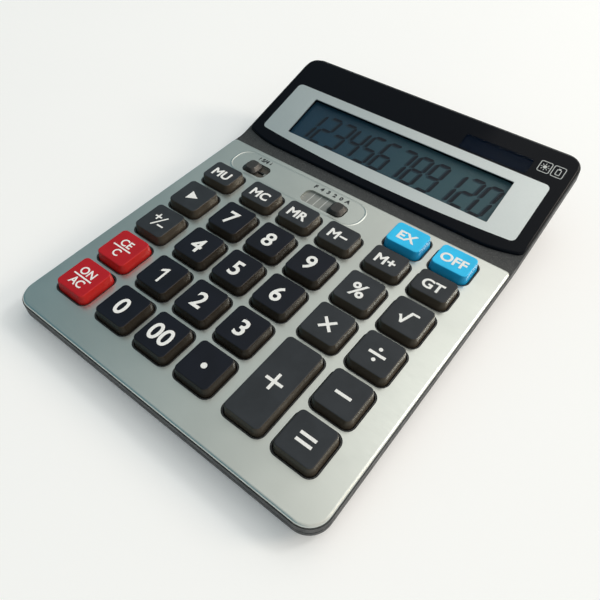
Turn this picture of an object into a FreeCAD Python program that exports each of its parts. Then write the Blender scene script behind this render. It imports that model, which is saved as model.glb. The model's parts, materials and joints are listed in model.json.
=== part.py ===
# A desk calculator: a gently sloping key deck under a silver plate, and a raised display head behind it.
# Millimetres. The origin is under the middle of the object, +X right, +Y to the back, +Z up.
import FreeCAD, Part

import math
import os

from FreeCAD import Placement, Rotation, Vector

# Overall form
WIDTH = 155.0
DECK_LENGTH = 135.5
HEAD_LENGTH = 72.0
DECK_TILT = 2.5
HEAD_TILT = 15.2
HEAD_DROP = 2.0
FRONT_HEIGHT = 11.0
FRONT_CORNER = 9.0
BACK_CORNER = 8.0

# Case shells, as depths below the deck plane and the head plane
SKIN_DEPTH = 1.2
SHELL_WALL = 1.6
SIDE_WALL = 2.0
PARTING_DEPTH = 4.2
PARTING_GROOVE = 0.4
BAND_DEPTH = 6.7
KINK_RADIUS = 20.0
FLOOR_LEVEL = 1.0
FLOOR_WALL = 1.8
FLOOR_INSET = 6.0
FLOOR_BACK_INSET = 9.0
FLOOR_CORNER = 6.0

# Silver plate
PLATE_INSET = 0.4
PLATE_BACK = 137.0
PLATE_EDGE_ROUND = 1.0
PLATE_BACK_CORNER = 2.0

# Key grid, measured from the deck's front edge and centre line
COLUMNS = [-58.6, -34.2, -12.1, 10.0, 34.2, 56.5]
ROWS = [23.2, 44.4, 65.9, 87.2, 107.5, 124.9]
HOLE_WIDTH = 19.6
ROW_HOLE_LENGTHS = [20.0, 20.0, 20.0, 20.0, 16.0, 16.2]
HOLE_CORNER = 4.0
COLLAR_GAP = 0.2
COLLAR_TOP = -0.25
OPENING_INSET = 0.65

# Keys
KEY_RISE = 4.2
KEY_TOP_INSET = 1.75
KEY_TOP_CORNER = 2.0
KEY_BASE_INSET = 1.1
KEY_BASE_CORNER = 3.0
KEY_EDGE_ROUND = 0.45
KEY_WALL = 1.4
KEY_ROOF = 1.6
FLANGE_INSET = -0.2
FLANGE_TOP = -2.9
FLANGE_THICKNESS = 1.0
STEM_RADIUS = 2.4

# Rubber mat, key board and its screws
DOME_GAP = 0.05
DOME_BASE_RADIUS = 5.2
DOME_TOP_RADIUS = 3.2
DOME_WALL = 0.8
DOME_HEIGHT = 2.35
MAT_THICKNESS = 0.8
BOARD_THICKNESS = 1.2
BOARD_HALF_WIDTH = 68.0
BOARD_FRONT = 13.0
BOARD_BACK = 133.0
BOARD_CORNER = 2.0
MAT_FRONT = 13.6
MAT_BACK = 116.4
MAT_STEP_COLUMN = 21.0
MAT_STEP_LAP = 10.0
BOARD_BOSS_COLUMNS = [-46.4, 22.1]
BOARD_BOSS_ROWS = [34.0, 76.0, 116.0]
BOARD_BOSS_RADIUS = 1.7
BOARD_PILOT_RADIUS = 0.85
BOARD_SCREW_RADIUS = 0.8
BOARD_SCREW_LENGTH = 3.2
BOARD_SCREW_HEAD_RADIUS = 1.7
BOARD_SCREW_HEAD = 0.9
BOARD_SCREW_TIP_GAP = 0.2
BOARD_HOLE_RADIUS = 1.0
BOSS_CLEARANCE = 0.3
RIB_ROWS = [55.0, 97.0]
RIB_HALF_LENGTH = 60.0
RIB_THICKNESS = 1.5
RIB_GAP = 0.1

# Display head, in the head's own plane, measured from the bend
PANEL_HALF_WIDTH = 76.8
PANEL_FRONT = 9.0
PANEL_BACK = 71.0
PANEL_THICKNESS = 1.6
PANEL_SWEEP = 4.0
PANEL_SWEEP_LENGTH = 12.0
PANEL_SWEEP_RADIUS = 60.0
PANEL_FRONT_CORNER = 3.0
PANEL_BACK_CORNER = 6.0
PANEL_EDGE_ROUND = 1.0
PANEL_GAP = 0.1
BEZEL_HALF_WIDTH = 70.8
BEZEL_FRONT_MIDDLE = 13.5
BEZEL_FRONT_ENDS = 16.8
BEZEL_BACK = 50.9
BEZEL_CORNER = 2.5
BEZEL_THICKNESS = 0.5
WINDOW_HALF_WIDTH = 56.2
WINDOW_FRONT = 20.0
WINDOW_BACK = 45.4
WINDOW_CORNER = 0.6
LENS_LAP = 2.0
LENS_THICKNESS = 0.8
GLASS_HALF_WIDTH = 59.5
GLASS_FRONT = 16.8
GLASS_BACK = 48.0
GLASS_LEDGE = 4.0
GLASS_TOP = -2.5
GLASS_PLATE = 1.0
GLASS_PLAY = 0.4
HOLDER_HALF_WIDTH = 63.0
HOLDER_FRONT = 13.5
HOLDER_BACK = 50.4
HOLDER_TOP = -2.85
HOLDER_LEDGE = 5.0
HOLDER_CORNER = 1.0
STRIP_HALF_LENGTH = 55.0
STRIP_FRONT = 17.5
STRIP_WIDTH = 2.2
DISPLAY_BOARD_TOP = -7.5
DISPLAY_BOARD_HALF_WIDTH = 69.0
DISPLAY_BOARD_FRONT = 12.0
DISPLAY_BOARD_BACK = 56.0
DISPLAY_BOARD_NOTCH_COLUMN = 58.0
DISPLAY_BOARD_NOTCH_ROW = 50.5
HEAD_BOSS_COLUMNS = [-66.0, 66.0]
HEAD_BOSS_ROWS = [18.0, 47.0]
CHIP_RADIUS = 6.0
CHIP_HEIGHT = 1.2
CHIP_ROUND = 0.8
CHIP_ROW = 34.0
SOLAR_LEFT = 24.0
SOLAR_RIGHT = 58.0
SOLAR_FRONT = 52.0
SOLAR_BACK = 61.0
SOLAR_LAP = 1.0
SOLAR_CELL_THICKNESS = 1.1
SOLAR_GAP = 0.05

# Selector knobs and their slots
SLOT_ROW = 123.8
SLOT_WIDTH = 9.0
SLOT_CORNER = 3.0
ROUNDING_SLOT = (-58.5, -44.5)
DECIMAL_SLOT = (-22.0, 2.0)
KNOB_LENGTH = 8.0
KNOB_WIDTH = 8.0
KNOB_END_GAP = 0.5
KNOB_BASE = -1.2
KNOB_SHOULDER = 0.2
KNOB_TOP = 2.0
KNOB_TOP_LENGTH = 5.0
KNOB_TOP_WIDTH = 6.4
KNOB_CORNER = 2.0
KNOB_ROUND = 0.6
STRIP_TOP = -1.3
SWITCH_STRIP_THICKNESS = 0.7
SWITCH_STRIP_ENDS = (-62.0, 5.0)
SWITCH_STRIP_WIDTH = 12.0
STEM_LENGTH = 4.0
STEM_WIDTH = 1.4
SLIT_PLAY = 0.2
FOOT_LENGTH = 5.0
FOOT_WIDTH = 4.0
FOOT_TOP = -3.0
FOOT_BOTTOM = -3.8
WIPER_WIDTH = 3.0
WIPER_SHEET = 0.2
WIPER_BEND = 0.4
WIPER_TIP_RISE = 1.0

# Case screws: place across, place along (deck row or head row) and the level where the two bosses meet
FRONT_SCREW = (45.0, 9.6, 6.0)
BEND_SCREW = (62.0, 139.0, 9.0)
REAR_SCREW = (64.0, 57.5, 20.0)
CASE_BOSS_RADIUS = 2.4
CASE_TUBE_RADIUS = 3.2
CASE_PILOT_RADIUS = 1.3
CASE_SCREW_RADIUS = 1.25
CASE_SCREW_HOLE = 1.5
CASE_SCREW_SEAT = 3.0
CASE_SCREW_REACH = 2.0
CASE_SCREW_HEAD_RADIUS = 2.5
CASE_SCREW_HEAD = 1.6
COUNTERBORE_RADIUS = 2.8
DRIVE_SLOT = 0.7
DRIVE_LENGTH = 3.1

# Rubber feet
FOOT_PAD_RADIUS = 5.0
FOOT_PAD_RECESS = 0.5
FOOT_PAD_X = 63.0
FOOT_PAD_FRONT_Y = -84.0
FOOT_PAD_BACK_Y = 78.0
FOOT_PAD_PLAY = 0.1
FOOT_PAD_ROUND = 0.4

# Battery compartment in the floor of the head
BATTERY_X = -38.0
DOOR_WIDTH = 30.0
DOOR_LENGTH = 24.0
DOOR_TOP = 9.0
DOOR_PLAY = 0.2
TONGUE_WIDTH = 1.0
TONGUE_BOTTOM = 1.6
TONGUE_TOP = 2.3
BAY_MARGIN = 2.0
BAY_WALL = 1.5
BAY_ROOF_UNDERSIDE = 9.4
BAY_ROOF_TOP = 10.6
CELL_RADIUS = 5.8
CELL_BUTTON_RADIUS = 4.8
CELL_BOTTOM = 4.3
CELL_CAN_HEIGHT = 2.6
CELL_BUTTON_HEIGHT = 0.5
CELL_SETBACK = 11.0
CELL_ROUND = 0.4
CRADLE_PLAY = 0.2
CRADLE_WALL = 1.2
CRADLE_BOTTOM = 5.0
DOOR_RIB_HEIGHT = 1.3
CLIP_WIDTH = 4.0
CLIP_SHEET = 0.3
CLIP_TAIL_TOP = 12.5
TAIL_SLOT_WIDTH = 1.0
TAIL_SLOT_PLAY = 0.6
NEGATIVE_TAIL = -4.5
NEGATIVE_TOUCH = 1.0
NEGATIVE_TIP = 3.0
NEGATIVE_RISE = 1.3
POSITIVE_TAIL = 8.8
POSITIVE_BEND_HEIGHT = 3.4
POSITIVE_TOUCH_HEIGHT = 1.8
CLIP_TIP = 0.8
CLIP_TIP_RISE = 0.6
CLIP_BEND = 0.6

# Wires and ribbon
WIRE_RADIUS = 0.5
WIRE_BEND = 0.45
RIBBON_HALF_WIDTH = 22.0
RIBBON_SHEET = 0.3
RIBBON_LAP = 6.0
RIBBON_SLACK = 3.5
RIBBON_BEND = 5.0
SOLAR_WIRE_COLUMNS = (32.0, 50.0)
SOLAR_WIRE_CELL_ROW = 57.5
SOLAR_WIRE_BOARD_ROW = 53.5
SOLAR_WIRE_STUB = 1.7
BATTERY_WIRE_STUB = 2.5
BATTERY_WIRE_ACROSS = 2.5
BATTERY_WIRE_ALONG = 1.0

# Working distances: a match, a close match of edges, past one wall, past everything
TINY = 1e-6
EDGE_MATCH = 0.01
THROUGH = 6.0
FAR = 60.0

KEY_NODES = {
    "key_on_ac": (0, 0),
    "key_clear_entry": (0, 1),
    "key_sign_change": (0, 2),
    "key_backspace": (0, 3),
    "key_mark_up": (0, 4),
    "key_0": (1, 0),
    "key_1": (1, 1),
    "key_4": (1, 2),
    "key_7": (1, 3),
    "key_memory_clear": (1, 4),
    "key_00": (2, 0),
    "key_2": (2, 1),
    "key_5": (2, 2),
    "key_8": (2, 3),
    "key_memory_recall": (2, 4),
    "key_point": (3, 0),
    "key_3": (3, 1),
    "key_6": (3, 2),
    "key_9": (3, 3),
    "key_memory_minus": (3, 4),
    "key_multiply": (4, 2),
    "key_percent": (4, 3),
    "key_memory_plus": (4, 4),
    "key_exchange": (4, 5),
    "key_equals": (5, 0),
    "key_minus": (5, 1),
    "key_divide": (5, 2),
    "key_square_root": (5, 3),
    "key_grand_total": (5, 4),
    "key_off": (5, 5),
}
PLUS_NODE = "key_plus"
PLUS_COLUMN = 4


def tilted(base, angle):
    """A frame at base, turned about X so that its far end rises."""
    return Placement(base, Rotation(Vector(1, 0, 0), angle))


def plane_frames(front_y):
    """The deck's frame at the plate's front edge, and the head's frame at the bend."""
    deck = tilted(Vector(0, front_y, FRONT_HEIGHT), DECK_TILT)
    head = deck.multiply(tilted(Vector(0, DECK_LENGTH, -HEAD_DROP), HEAD_TILT))
    return deck, head


DEPTH = plane_frames(0.0)[1].multVec(Vector(0, HEAD_LENGTH, -BAND_DEPTH)).y
DECK, HEAD = plane_frames(-DEPTH / 2)
FLOOR_BACK_Y = DEPTH / 2 - FLOOR_BACK_INSET
DOOR_FRONT_Y = FLOOR_BACK_Y - DOOR_LENGTH
CELL_Y = DOOR_FRONT_Y + CELL_SETBACK
INNER_FLOOR = FLOOR_LEVEL + FLOOR_WALL
FLANGE_BOTTOM = FLANGE_TOP - FLANGE_THICKNESS
MAT_TOP = FLANGE_BOTTOM - DOME_GAP - DOME_HEIGHT
BOARD_TOP = MAT_TOP - MAT_THICKNESS
BOARD_BOTTOM = BOARD_TOP - BOARD_THICKNESS
DISPLAY_BOARD_BOTTOM = DISPLAY_BOARD_TOP - BOARD_THICKNESS
WALL_MIDDLE = SKIN_DEPTH + SHELL_WALL / 2
ROUNDING_TRAVEL = ROUNDING_SLOT[1] - ROUNDING_SLOT[0] - KNOB_LENGTH - 2 * KNOB_END_GAP
DECIMAL_TRAVEL = DECIMAL_SLOT[1] - DECIMAL_SLOT[0] - KNOB_LENGTH - 2 * KNOB_END_GAP
ROUNDING_X = ROUNDING_SLOT[0] + KNOB_END_GAP + KNOB_LENGTH / 2
DECIMAL_X = DECIMAL_SLOT[1] - KNOB_END_GAP - KNOB_LENGTH / 2


def placed(shape, frame):
    """A copy of a shape that was drawn in a frame's own coordinates."""
    copy = shape.copy()
    copy.Placement = frame.multiply(copy.Placement)
    return copy


def rounded_edges(points, radii, closed=True):
    """Straight runs between points, joined by a tangent arc of the given radius at each point."""
    count = len(points)
    corners = []
    for index, corner in enumerate(points):
        is_end = not closed and index in (0, count - 1)
        if radii[index] <= 0 or is_end:
            corners.append((corner, None, corner))
            continue
        backward = (points[index - 1] - corner).normalize()
        forward = (points[(index + 1) % count] - corner).normalize()
        half_angle = backward.getAngle(forward) / 2
        reach = radii[index] / math.tan(half_angle)
        inward = (backward + forward).normalize()
        middle = corner + inward * (radii[index] / math.sin(half_angle) - radii[index])
        corners.append((corner + backward * reach, middle, corner + forward * reach))
    edges = []
    runs = count if closed else count - 1
    for index, (arrive, middle, leave) in enumerate(corners):
        if middle is not None:
            edges.append(Part.Arc(arrive, middle, leave).toShape())
        following = corners[(index + 1) % count][0]
        if index < runs and (following - leave).Length > TINY:
            edges.append(Part.LineSegment(leave, following).toShape())
    return edges


def rectangle(left, right, front, back, level):
    """Corner points, from front left round to back left."""
    return [
        Vector(left, front, level),
        Vector(right, front, level),
        Vector(right, back, level),
        Vector(left, back, level),
    ]


def slab(left, right, front, back, bottom, top, front_radius=0.0, back_radius=None):
    """A flat plate with rounded upright corners."""
    if back_radius is None:
        back_radius = front_radius
    radii = [front_radius, front_radius, back_radius, back_radius]
    wire = Part.Wire(rounded_edges(rectangle(left, right, front, back, bottom), radii))
    return Part.Face(wire).extrude(Vector(0, 0, top - bottom))


def centred_slab(x, y, width, length, bottom, top, radius=0.0):
    """A flat plate about a centre point."""
    return slab(x - width / 2, x + width / 2, y - length / 2, y + length / 2, bottom, top, radius)


def disc(x, y, radius, bottom, top):
    """An upright cylinder."""
    return Part.makeCylinder(radius, top - bottom, Vector(x, y, bottom))


def edges_at(shape, middles):
    """The edges of a shape whose middles lie at the given points."""
    found = []
    for edge in shape.Edges:
        if any((edge.CenterOfMass - middle).Length < EDGE_MATCH for middle in middles):
            found.append(edge)
    return found


def edges_on_top(shape, level):
    """The edges that lie wholly at one level."""
    return [edge for edge in shape.Edges if edge.BoundBox.ZMin > level - TINY]


def bend_row(depth):
    """The head row where two surfaces, one that far below the deck and one below the head, meet."""
    angle = math.radians(HEAD_TILT)
    return (HEAD_DROP - depth * (1 - math.cos(angle))) / math.sin(angle)


def bent_block(top, bottom, inset, front_corner, back_corner):
    """A layer between two depths that follows the deck, the bend and the head."""
    half = WIDTH / 2 - inset
    back = HEAD_LENGTH - inset
    profile = [
        DECK.multVec(Vector(-half, inset, -top)),
        HEAD.multVec(Vector(-half, bend_row(top), -top)),
        HEAD.multVec(Vector(-half, back, -top)),
        HEAD.multVec(Vector(-half, back, -bottom)),
        HEAD.multVec(Vector(-half, bend_row(bottom), -bottom)),
        DECK.multVec(Vector(-half, inset, -bottom)),
    ]
    block = Part.Face(Part.makePolygon(profile + profile[:1])).extrude(Vector(2 * half, 0, 0))
    across = Vector(2 * half, 0, 0)
    front_edge = (profile[0] + profile[5]) * 0.5
    back_edge = (profile[2] + profile[3]) * 0.5
    block = block.makeFillet(front_corner, edges_at(block, [front_edge, front_edge + across]))
    return block.makeFillet(back_corner, edges_at(block, [back_edge, back_edge + across]))


def tub_half(frame, rim_points, floor_points, rim_radii, floor_radii):
    """A tapering block between a rim in one frame and an outline on the floor."""
    rim = Part.Wire(rounded_edges([frame.multVec(point) for point in rim_points], rim_radii))
    floor = Part.Wire(rounded_edges(floor_points, floor_radii))
    return Part.makeLoft([floor, rim], True, True)


def tub(depth, inset, floor_level, floor_inset):
    """The tapering lower body under the deck and the head, between a depth and the floor."""
    half = WIDTH / 2 - inset
    floor_half = WIDTH / 2 - floor_inset - FLOOR_INSET
    front_corner = FRONT_CORNER - inset
    back_corner = BACK_CORNER - inset
    floor_corner = FLOOR_CORNER - floor_inset
    bend = bend_row(depth)
    bend_point = HEAD.multVec(Vector(0, bend, -depth))
    deck_bend = DECK.inverse().multVec(bend_point).y
    floor_front = -DEPTH / 2 + FLOOR_INSET + floor_inset
    floor_back = FLOOR_BACK_Y - floor_inset
    front_half = tub_half(
        DECK,
        rectangle(-half, half, inset, deck_bend, -depth),
        rectangle(-floor_half, floor_half, floor_front, bend_point.y, floor_level),
        [front_corner, front_corner, 0, 0],
        [floor_corner, floor_corner, 0, 0],
    )
    back_half = tub_half(
        HEAD,
        rectangle(-half, half, bend, HEAD_LENGTH - inset, -depth),
        rectangle(-floor_half, floor_half, bend_point.y, floor_back, floor_level),
        [0, 0, back_corner, back_corner],
        [0, 0, floor_corner, floor_corner],
    )
    return front_half.fuse(back_half).removeSplitter()


def key_hole(name):
    """Centre and size of a key's hole in the plate: x, y, width, length."""
    if name == PLUS_NODE:
        front = ROWS[0] - ROW_HOLE_LENGTHS[0] / 2
        back = ROWS[1] + ROW_HOLE_LENGTHS[1] / 2
        return COLUMNS[PLUS_COLUMN], (front + back) / 2, HOLE_WIDTH, back - front
    column, row = KEY_NODES[name]
    return COLUMNS[column], ROWS[row], HOLE_WIDTH, ROW_HOLE_LENGTHS[row]


def key_names():
    """Every key's node name."""
    return list(KEY_NODES) + [PLUS_NODE]


def hole_slab(hole, inset, bottom, top, corner):
    """A plate of a key hole's outline, drawn in by an inset."""
    x, y, width, length = hole
    return centred_slab(x, y, width - 2 * inset, length - 2 * inset, bottom, top, corner)


def hole_wire(hole, inset, level, corner):
    """The outline of a key hole at one level, drawn in by an inset."""
    x, y, width, length = hole
    half_width = width / 2 - inset
    half_length = length / 2 - inset
    points = rectangle(x - half_width, x + half_width, y - half_length, y + half_length, level)
    return Part.Wire(rounded_edges(points, [corner] * 4))


def dome_places(name):
    """The points under a key where a rubber dome carries it: two under the tall key."""
    x, y = key_hole(name)[:2]
    if name == PLUS_NODE:
        return [(x, ROWS[0]), (x, ROWS[1])]
    return [(x, y)]


def make_key(name):
    """A hollow key cap with drafted sides, a retaining flange and a stem over each dome."""
    hole = key_hole(name)
    base = hole_wire(hole, KEY_BASE_INSET, 0.0, KEY_BASE_CORNER)
    top = hole_wire(hole, KEY_TOP_INSET, KEY_RISE, KEY_TOP_CORNER)
    cap = Part.makeLoft([base, top], True, True)
    cap = cap.makeFillet(KEY_EDGE_ROUND, edges_on_top(cap, KEY_RISE))
    skirt = hole_slab(hole, KEY_BASE_INSET, FLANGE_TOP, 0.0, KEY_BASE_CORNER)
    flange = hole_slab(hole, FLANGE_INSET, FLANGE_BOTTOM, FLANGE_TOP, KEY_BASE_CORNER)
    roof = KEY_RISE - KEY_ROOF
    pocket = hole_slab(hole, KEY_BASE_INSET + KEY_WALL, FLANGE_BOTTOM, roof, KEY_BASE_CORNER - KEY_WALL)
    body = cap.fuse([skirt, flange]).cut(pocket)
    stems = [disc(x, y, STEM_RADIUS, FLANGE_BOTTOM, roof) for x, y in dome_places(name)]
    return placed(body.fuse(stems).removeSplitter(), DECK)


def slot_slab(slot, margin, bottom, top):
    """A plate of a selector slot's outline."""
    front = SLOT_ROW - SLOT_WIDTH / 2 - margin
    back = SLOT_ROW + SLOT_WIDTH / 2 + margin
    return slab(slot[0] - margin, slot[1] + margin, front, back, bottom, top, SLOT_CORNER)


def slit_slab(rest_x, travel, bottom, top):
    """The narrow slit that a selector's stem slides in."""
    left = min(rest_x, rest_x + travel) - STEM_LENGTH / 2 - SLIT_PLAY
    right = max(rest_x, rest_x + travel) + STEM_LENGTH / 2 + SLIT_PLAY
    half = STEM_WIDTH / 2 + SLIT_PLAY
    return slab(left, right, SLOT_ROW - half, SLOT_ROW + half, bottom, top)


def selector_slits(bottom, top):
    """Both selectors' slits."""
    return [
        slit_slab(ROUNDING_X, ROUNDING_TRAVEL, bottom, top),
        slit_slab(DECIMAL_X, -DECIMAL_TRAVEL, bottom, top),
    ]


def make_faceplate():
    """The silver plate with its rolled outer edge, a hole for each key and two selector slots."""
    half = WIDTH / 2 - PLATE_INSET
    corner = FRONT_CORNER - PLATE_INSET
    plate = slab(-half, half, PLATE_INSET, PLATE_BACK, -SKIN_DEPTH, 0.0, corner, PLATE_BACK_CORNER)
    plate = plate.makeFillet(PLATE_EDGE_ROUND, edges_on_top(plate, 0.0))
    cuts = [hole_slab(key_hole(name), 0.0, -FAR, FAR, HOLE_CORNER) for name in key_names()]
    cuts.append(slot_slab(ROUNDING_SLOT, 0.0, -FAR, FAR))
    cuts.append(slot_slab(DECIMAL_SLOT, 0.0, -FAR, FAR))
    return placed(plate.cut(cuts), DECK)


def deck_screw_places():
    """Where the key board is screwed to the top case."""
    return [(x, y) for x in BOARD_BOSS_COLUMNS for y in BOARD_BOSS_ROWS]


def head_screw_places():
    """Where the display board is screwed to the top case."""
    return [(x, y) for x in HEAD_BOSS_COLUMNS for y in HEAD_BOSS_ROWS]


def case_screw_places():
    """World place of each case screw: x, y and the level where its two bosses meet."""
    places = []
    for side in (-1, 1):
        for (x, row, level), frame in ((FRONT_SCREW, DECK), (BEND_SCREW, DECK), (REAR_SCREW, HEAD)):
            places.append((side * x, frame.multVec(Vector(0, row, 0)).y, level))
    return places


def display_panel_slab(gap, bottom, top):
    """A plate of the display panel's outline, its front edge swept back toward both ends."""
    half = PANEL_HALF_WIDTH + gap
    front = PANEL_FRONT - gap
    back = PANEL_BACK + gap
    bend = PANEL_HALF_WIDTH - PANEL_SWEEP_LENGTH
    corners = [
        (-half, front + PANEL_SWEEP, PANEL_FRONT_CORNER),
        (-bend, front, PANEL_SWEEP_RADIUS),
        (bend, front, PANEL_SWEEP_RADIUS),
        (half, front + PANEL_SWEEP, PANEL_FRONT_CORNER),
        (half, back, PANEL_BACK_CORNER),
        (-half, back, PANEL_BACK_CORNER),
    ]
    points = [Vector(x, y, bottom) for x, y, radius in corners]
    wire = Part.Wire(rounded_edges(points, [radius for x, y, radius in corners]))
    return Part.Face(wire).extrude(Vector(0, 0, top - bottom))


def glass_opening(gap, bottom, top):
    """A plate a little larger than the display glass."""
    half = GLASS_HALF_WIDTH + gap
    return slab(-half, half, GLASS_FRONT - gap, GLASS_BACK + gap, bottom, top)


def solar_slab(margin, bottom, top, corner):
    """A plate of the solar window's outline, grown by a margin."""
    left = SOLAR_LEFT - margin
    right = SOLAR_RIGHT + margin
    return slab(left, right, SOLAR_FRONT - margin, SOLAR_BACK + margin, bottom, top, corner)


def switch_strip_slab(gap, bottom, top):
    """A plate of the selector floor's outline."""
    half = SWITCH_STRIP_WIDTH / 2 + gap
    left, right = SWITCH_STRIP_ENDS
    return slab(left - gap, right + gap, SLOT_ROW - half, SLOT_ROW + half, bottom, top)


def upper_shell():
    """The upper shell: deck and head walls, key collars, bosses, and seats for the plate and the panel."""
    outer = bent_block(SKIN_DEPTH, PARTING_DEPTH, 0.0, FRONT_CORNER, BACK_CORNER)
    kink = HEAD.multVec(Vector(0, bend_row(SKIN_DEPTH), -SKIN_DEPTH))
    outer = outer.makeFillet(KINK_RADIUS, edges_at(outer, [kink]))
    inner_depth = SKIN_DEPTH + SHELL_WALL
    hollow_bottom = PARTING_DEPTH + THROUGH
    hollow = bent_block(
        inner_depth, hollow_bottom, SIDE_WALL, FRONT_CORNER - SIDE_WALL, BACK_CORNER - SIDE_WALL
    )
    shell = outer.cut(hollow)
    holes = [key_hole(name) for name in key_names()]
    collar_corner = HOLE_CORNER - COLLAR_GAP
    collars = [hole_slab(hole, COLLAR_GAP, -inner_depth, COLLAR_TOP, collar_corner) for hole in holes]
    deck_bosses = [disc(x, y, BOARD_BOSS_RADIUS, BOARD_TOP, -WALL_MIDDLE) for x, y in deck_screw_places()]
    head_bosses = [
        disc(x, y, BOARD_BOSS_RADIUS, DISPLAY_BOARD_TOP, -WALL_MIDDLE) for x, y in head_screw_places()
    ]
    half_wall = SIDE_WALL / 2
    under_skin = bent_block(WALL_MIDDLE, FAR, half_wall, FRONT_CORNER - half_wall, BACK_CORNER - half_wall)
    case_bosses = [
        disc(x, y, CASE_BOSS_RADIUS, level, FAR).common(under_skin) for x, y, level in case_screw_places()
    ]
    shell = shell.fuse(
        [placed(solid, DECK) for solid in collars + deck_bosses]
        + [placed(solid, HEAD) for solid in head_bosses]
        + case_bosses
    )
    opening_corner = HOLE_CORNER - OPENING_INSET
    deck_cuts = [hole_slab(hole, OPENING_INSET, -THROUGH, FAR, opening_corner) for hole in holes]
    deck_cuts.append(switch_strip_slab(PANEL_GAP, STRIP_TOP - SWITCH_STRIP_THICKNESS, FAR))
    deck_cuts += selector_slits(-THROUGH, FAR)
    pilot_top = BOARD_BOTTOM + BOARD_SCREW_LENGTH + BOARD_THICKNESS
    deck_cuts += [disc(x, y, BOARD_PILOT_RADIUS, BOARD_TOP, pilot_top) for x, y in deck_screw_places()]
    head_pilot_top = DISPLAY_BOARD_BOTTOM + BOARD_SCREW_LENGTH + BOARD_THICKNESS
    head_cuts = [
        display_panel_slab(PANEL_GAP, -PANEL_THICKNESS, FAR),
        glass_opening(GLASS_PLAY, HOLDER_TOP, FAR),
        solar_slab(SOLAR_LAP + PANEL_GAP, HOLDER_TOP, FAR, 0.0),
    ]
    head_cuts += [
        disc(x, y, BOARD_PILOT_RADIUS, DISPLAY_BOARD_TOP, head_pilot_top) for x, y in head_screw_places()
    ]
    pilots = [
        disc(x, y, CASE_PILOT_RADIUS, level, level + CASE_SCREW_REACH + PANEL_GAP)
        for x, y, level in case_screw_places()
    ]
    return shell.cut(
        [placed(solid, DECK) for solid in deck_cuts] + [placed(solid, HEAD) for solid in head_cuts] + pilots
    ).removeSplitter()


def make_top_and_head_case():
    """The upper shell in its two parts, which meet at the bend."""
    shell = upper_shell()
    bend = HEAD.multVec(Vector(0, bend_row(SKIN_DEPTH), -SKIN_DEPTH)).y
    front_space = slab(-WIDTH, WIDTH, -DEPTH, bend, -FAR, FAR)
    return shell.common(front_space), shell.cut(front_space)


def door_block(play):
    """The block of space that the battery cover takes out of the lower shell."""
    half = DOOR_WIDTH / 2 + play
    front = DOOR_FRONT_Y - play
    return slab(BATTERY_X - half, BATTERY_X + half, front, DEPTH, 0.0, DOOR_TOP + play)


def door_tongues(play):
    """The side tongues of the battery cover, or with play the grooves that they slide in."""
    half = DOOR_WIDTH / 2
    tongues = []
    for side in (-1, 1):
        inner = BATTERY_X + side * (half - TONGUE_WIDTH)
        outer = BATTERY_X + side * (half + TONGUE_WIDTH + play)
        back = FLOOR_BACK_Y - TONGUE_WIDTH if play == 0 else DEPTH
        left = min(inner, outer)
        right = max(inner, outer)
        front = DOOR_FRONT_Y - play
        tongues.append(slab(left, right, front, back, TONGUE_BOTTOM - play, TONGUE_TOP + play))
    return tongues


def lower_shell():
    """The closed lower body, its hollow, and the plain shell between them."""
    groove = bent_block(
        PARTING_DEPTH,
        PARTING_DEPTH + PARTING_GROOVE,
        PARTING_GROOVE,
        FRONT_CORNER - PARTING_GROOVE,
        BACK_CORNER - PARTING_GROOVE,
    )
    band = bent_block(PARTING_DEPTH + PARTING_GROOVE, BAND_DEPTH, 0.0, FRONT_CORNER, BACK_CORNER)
    outer = groove.fuse([band, tub(BAND_DEPTH, 0.0, FLOOR_LEVEL, 0.0)]).removeSplitter()
    hollow = tub(PARTING_DEPTH - PARTING_GROOVE, SIDE_WALL, INNER_FLOOR, SIDE_WALL)
    return outer, hollow, outer.cut(hollow)


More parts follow.
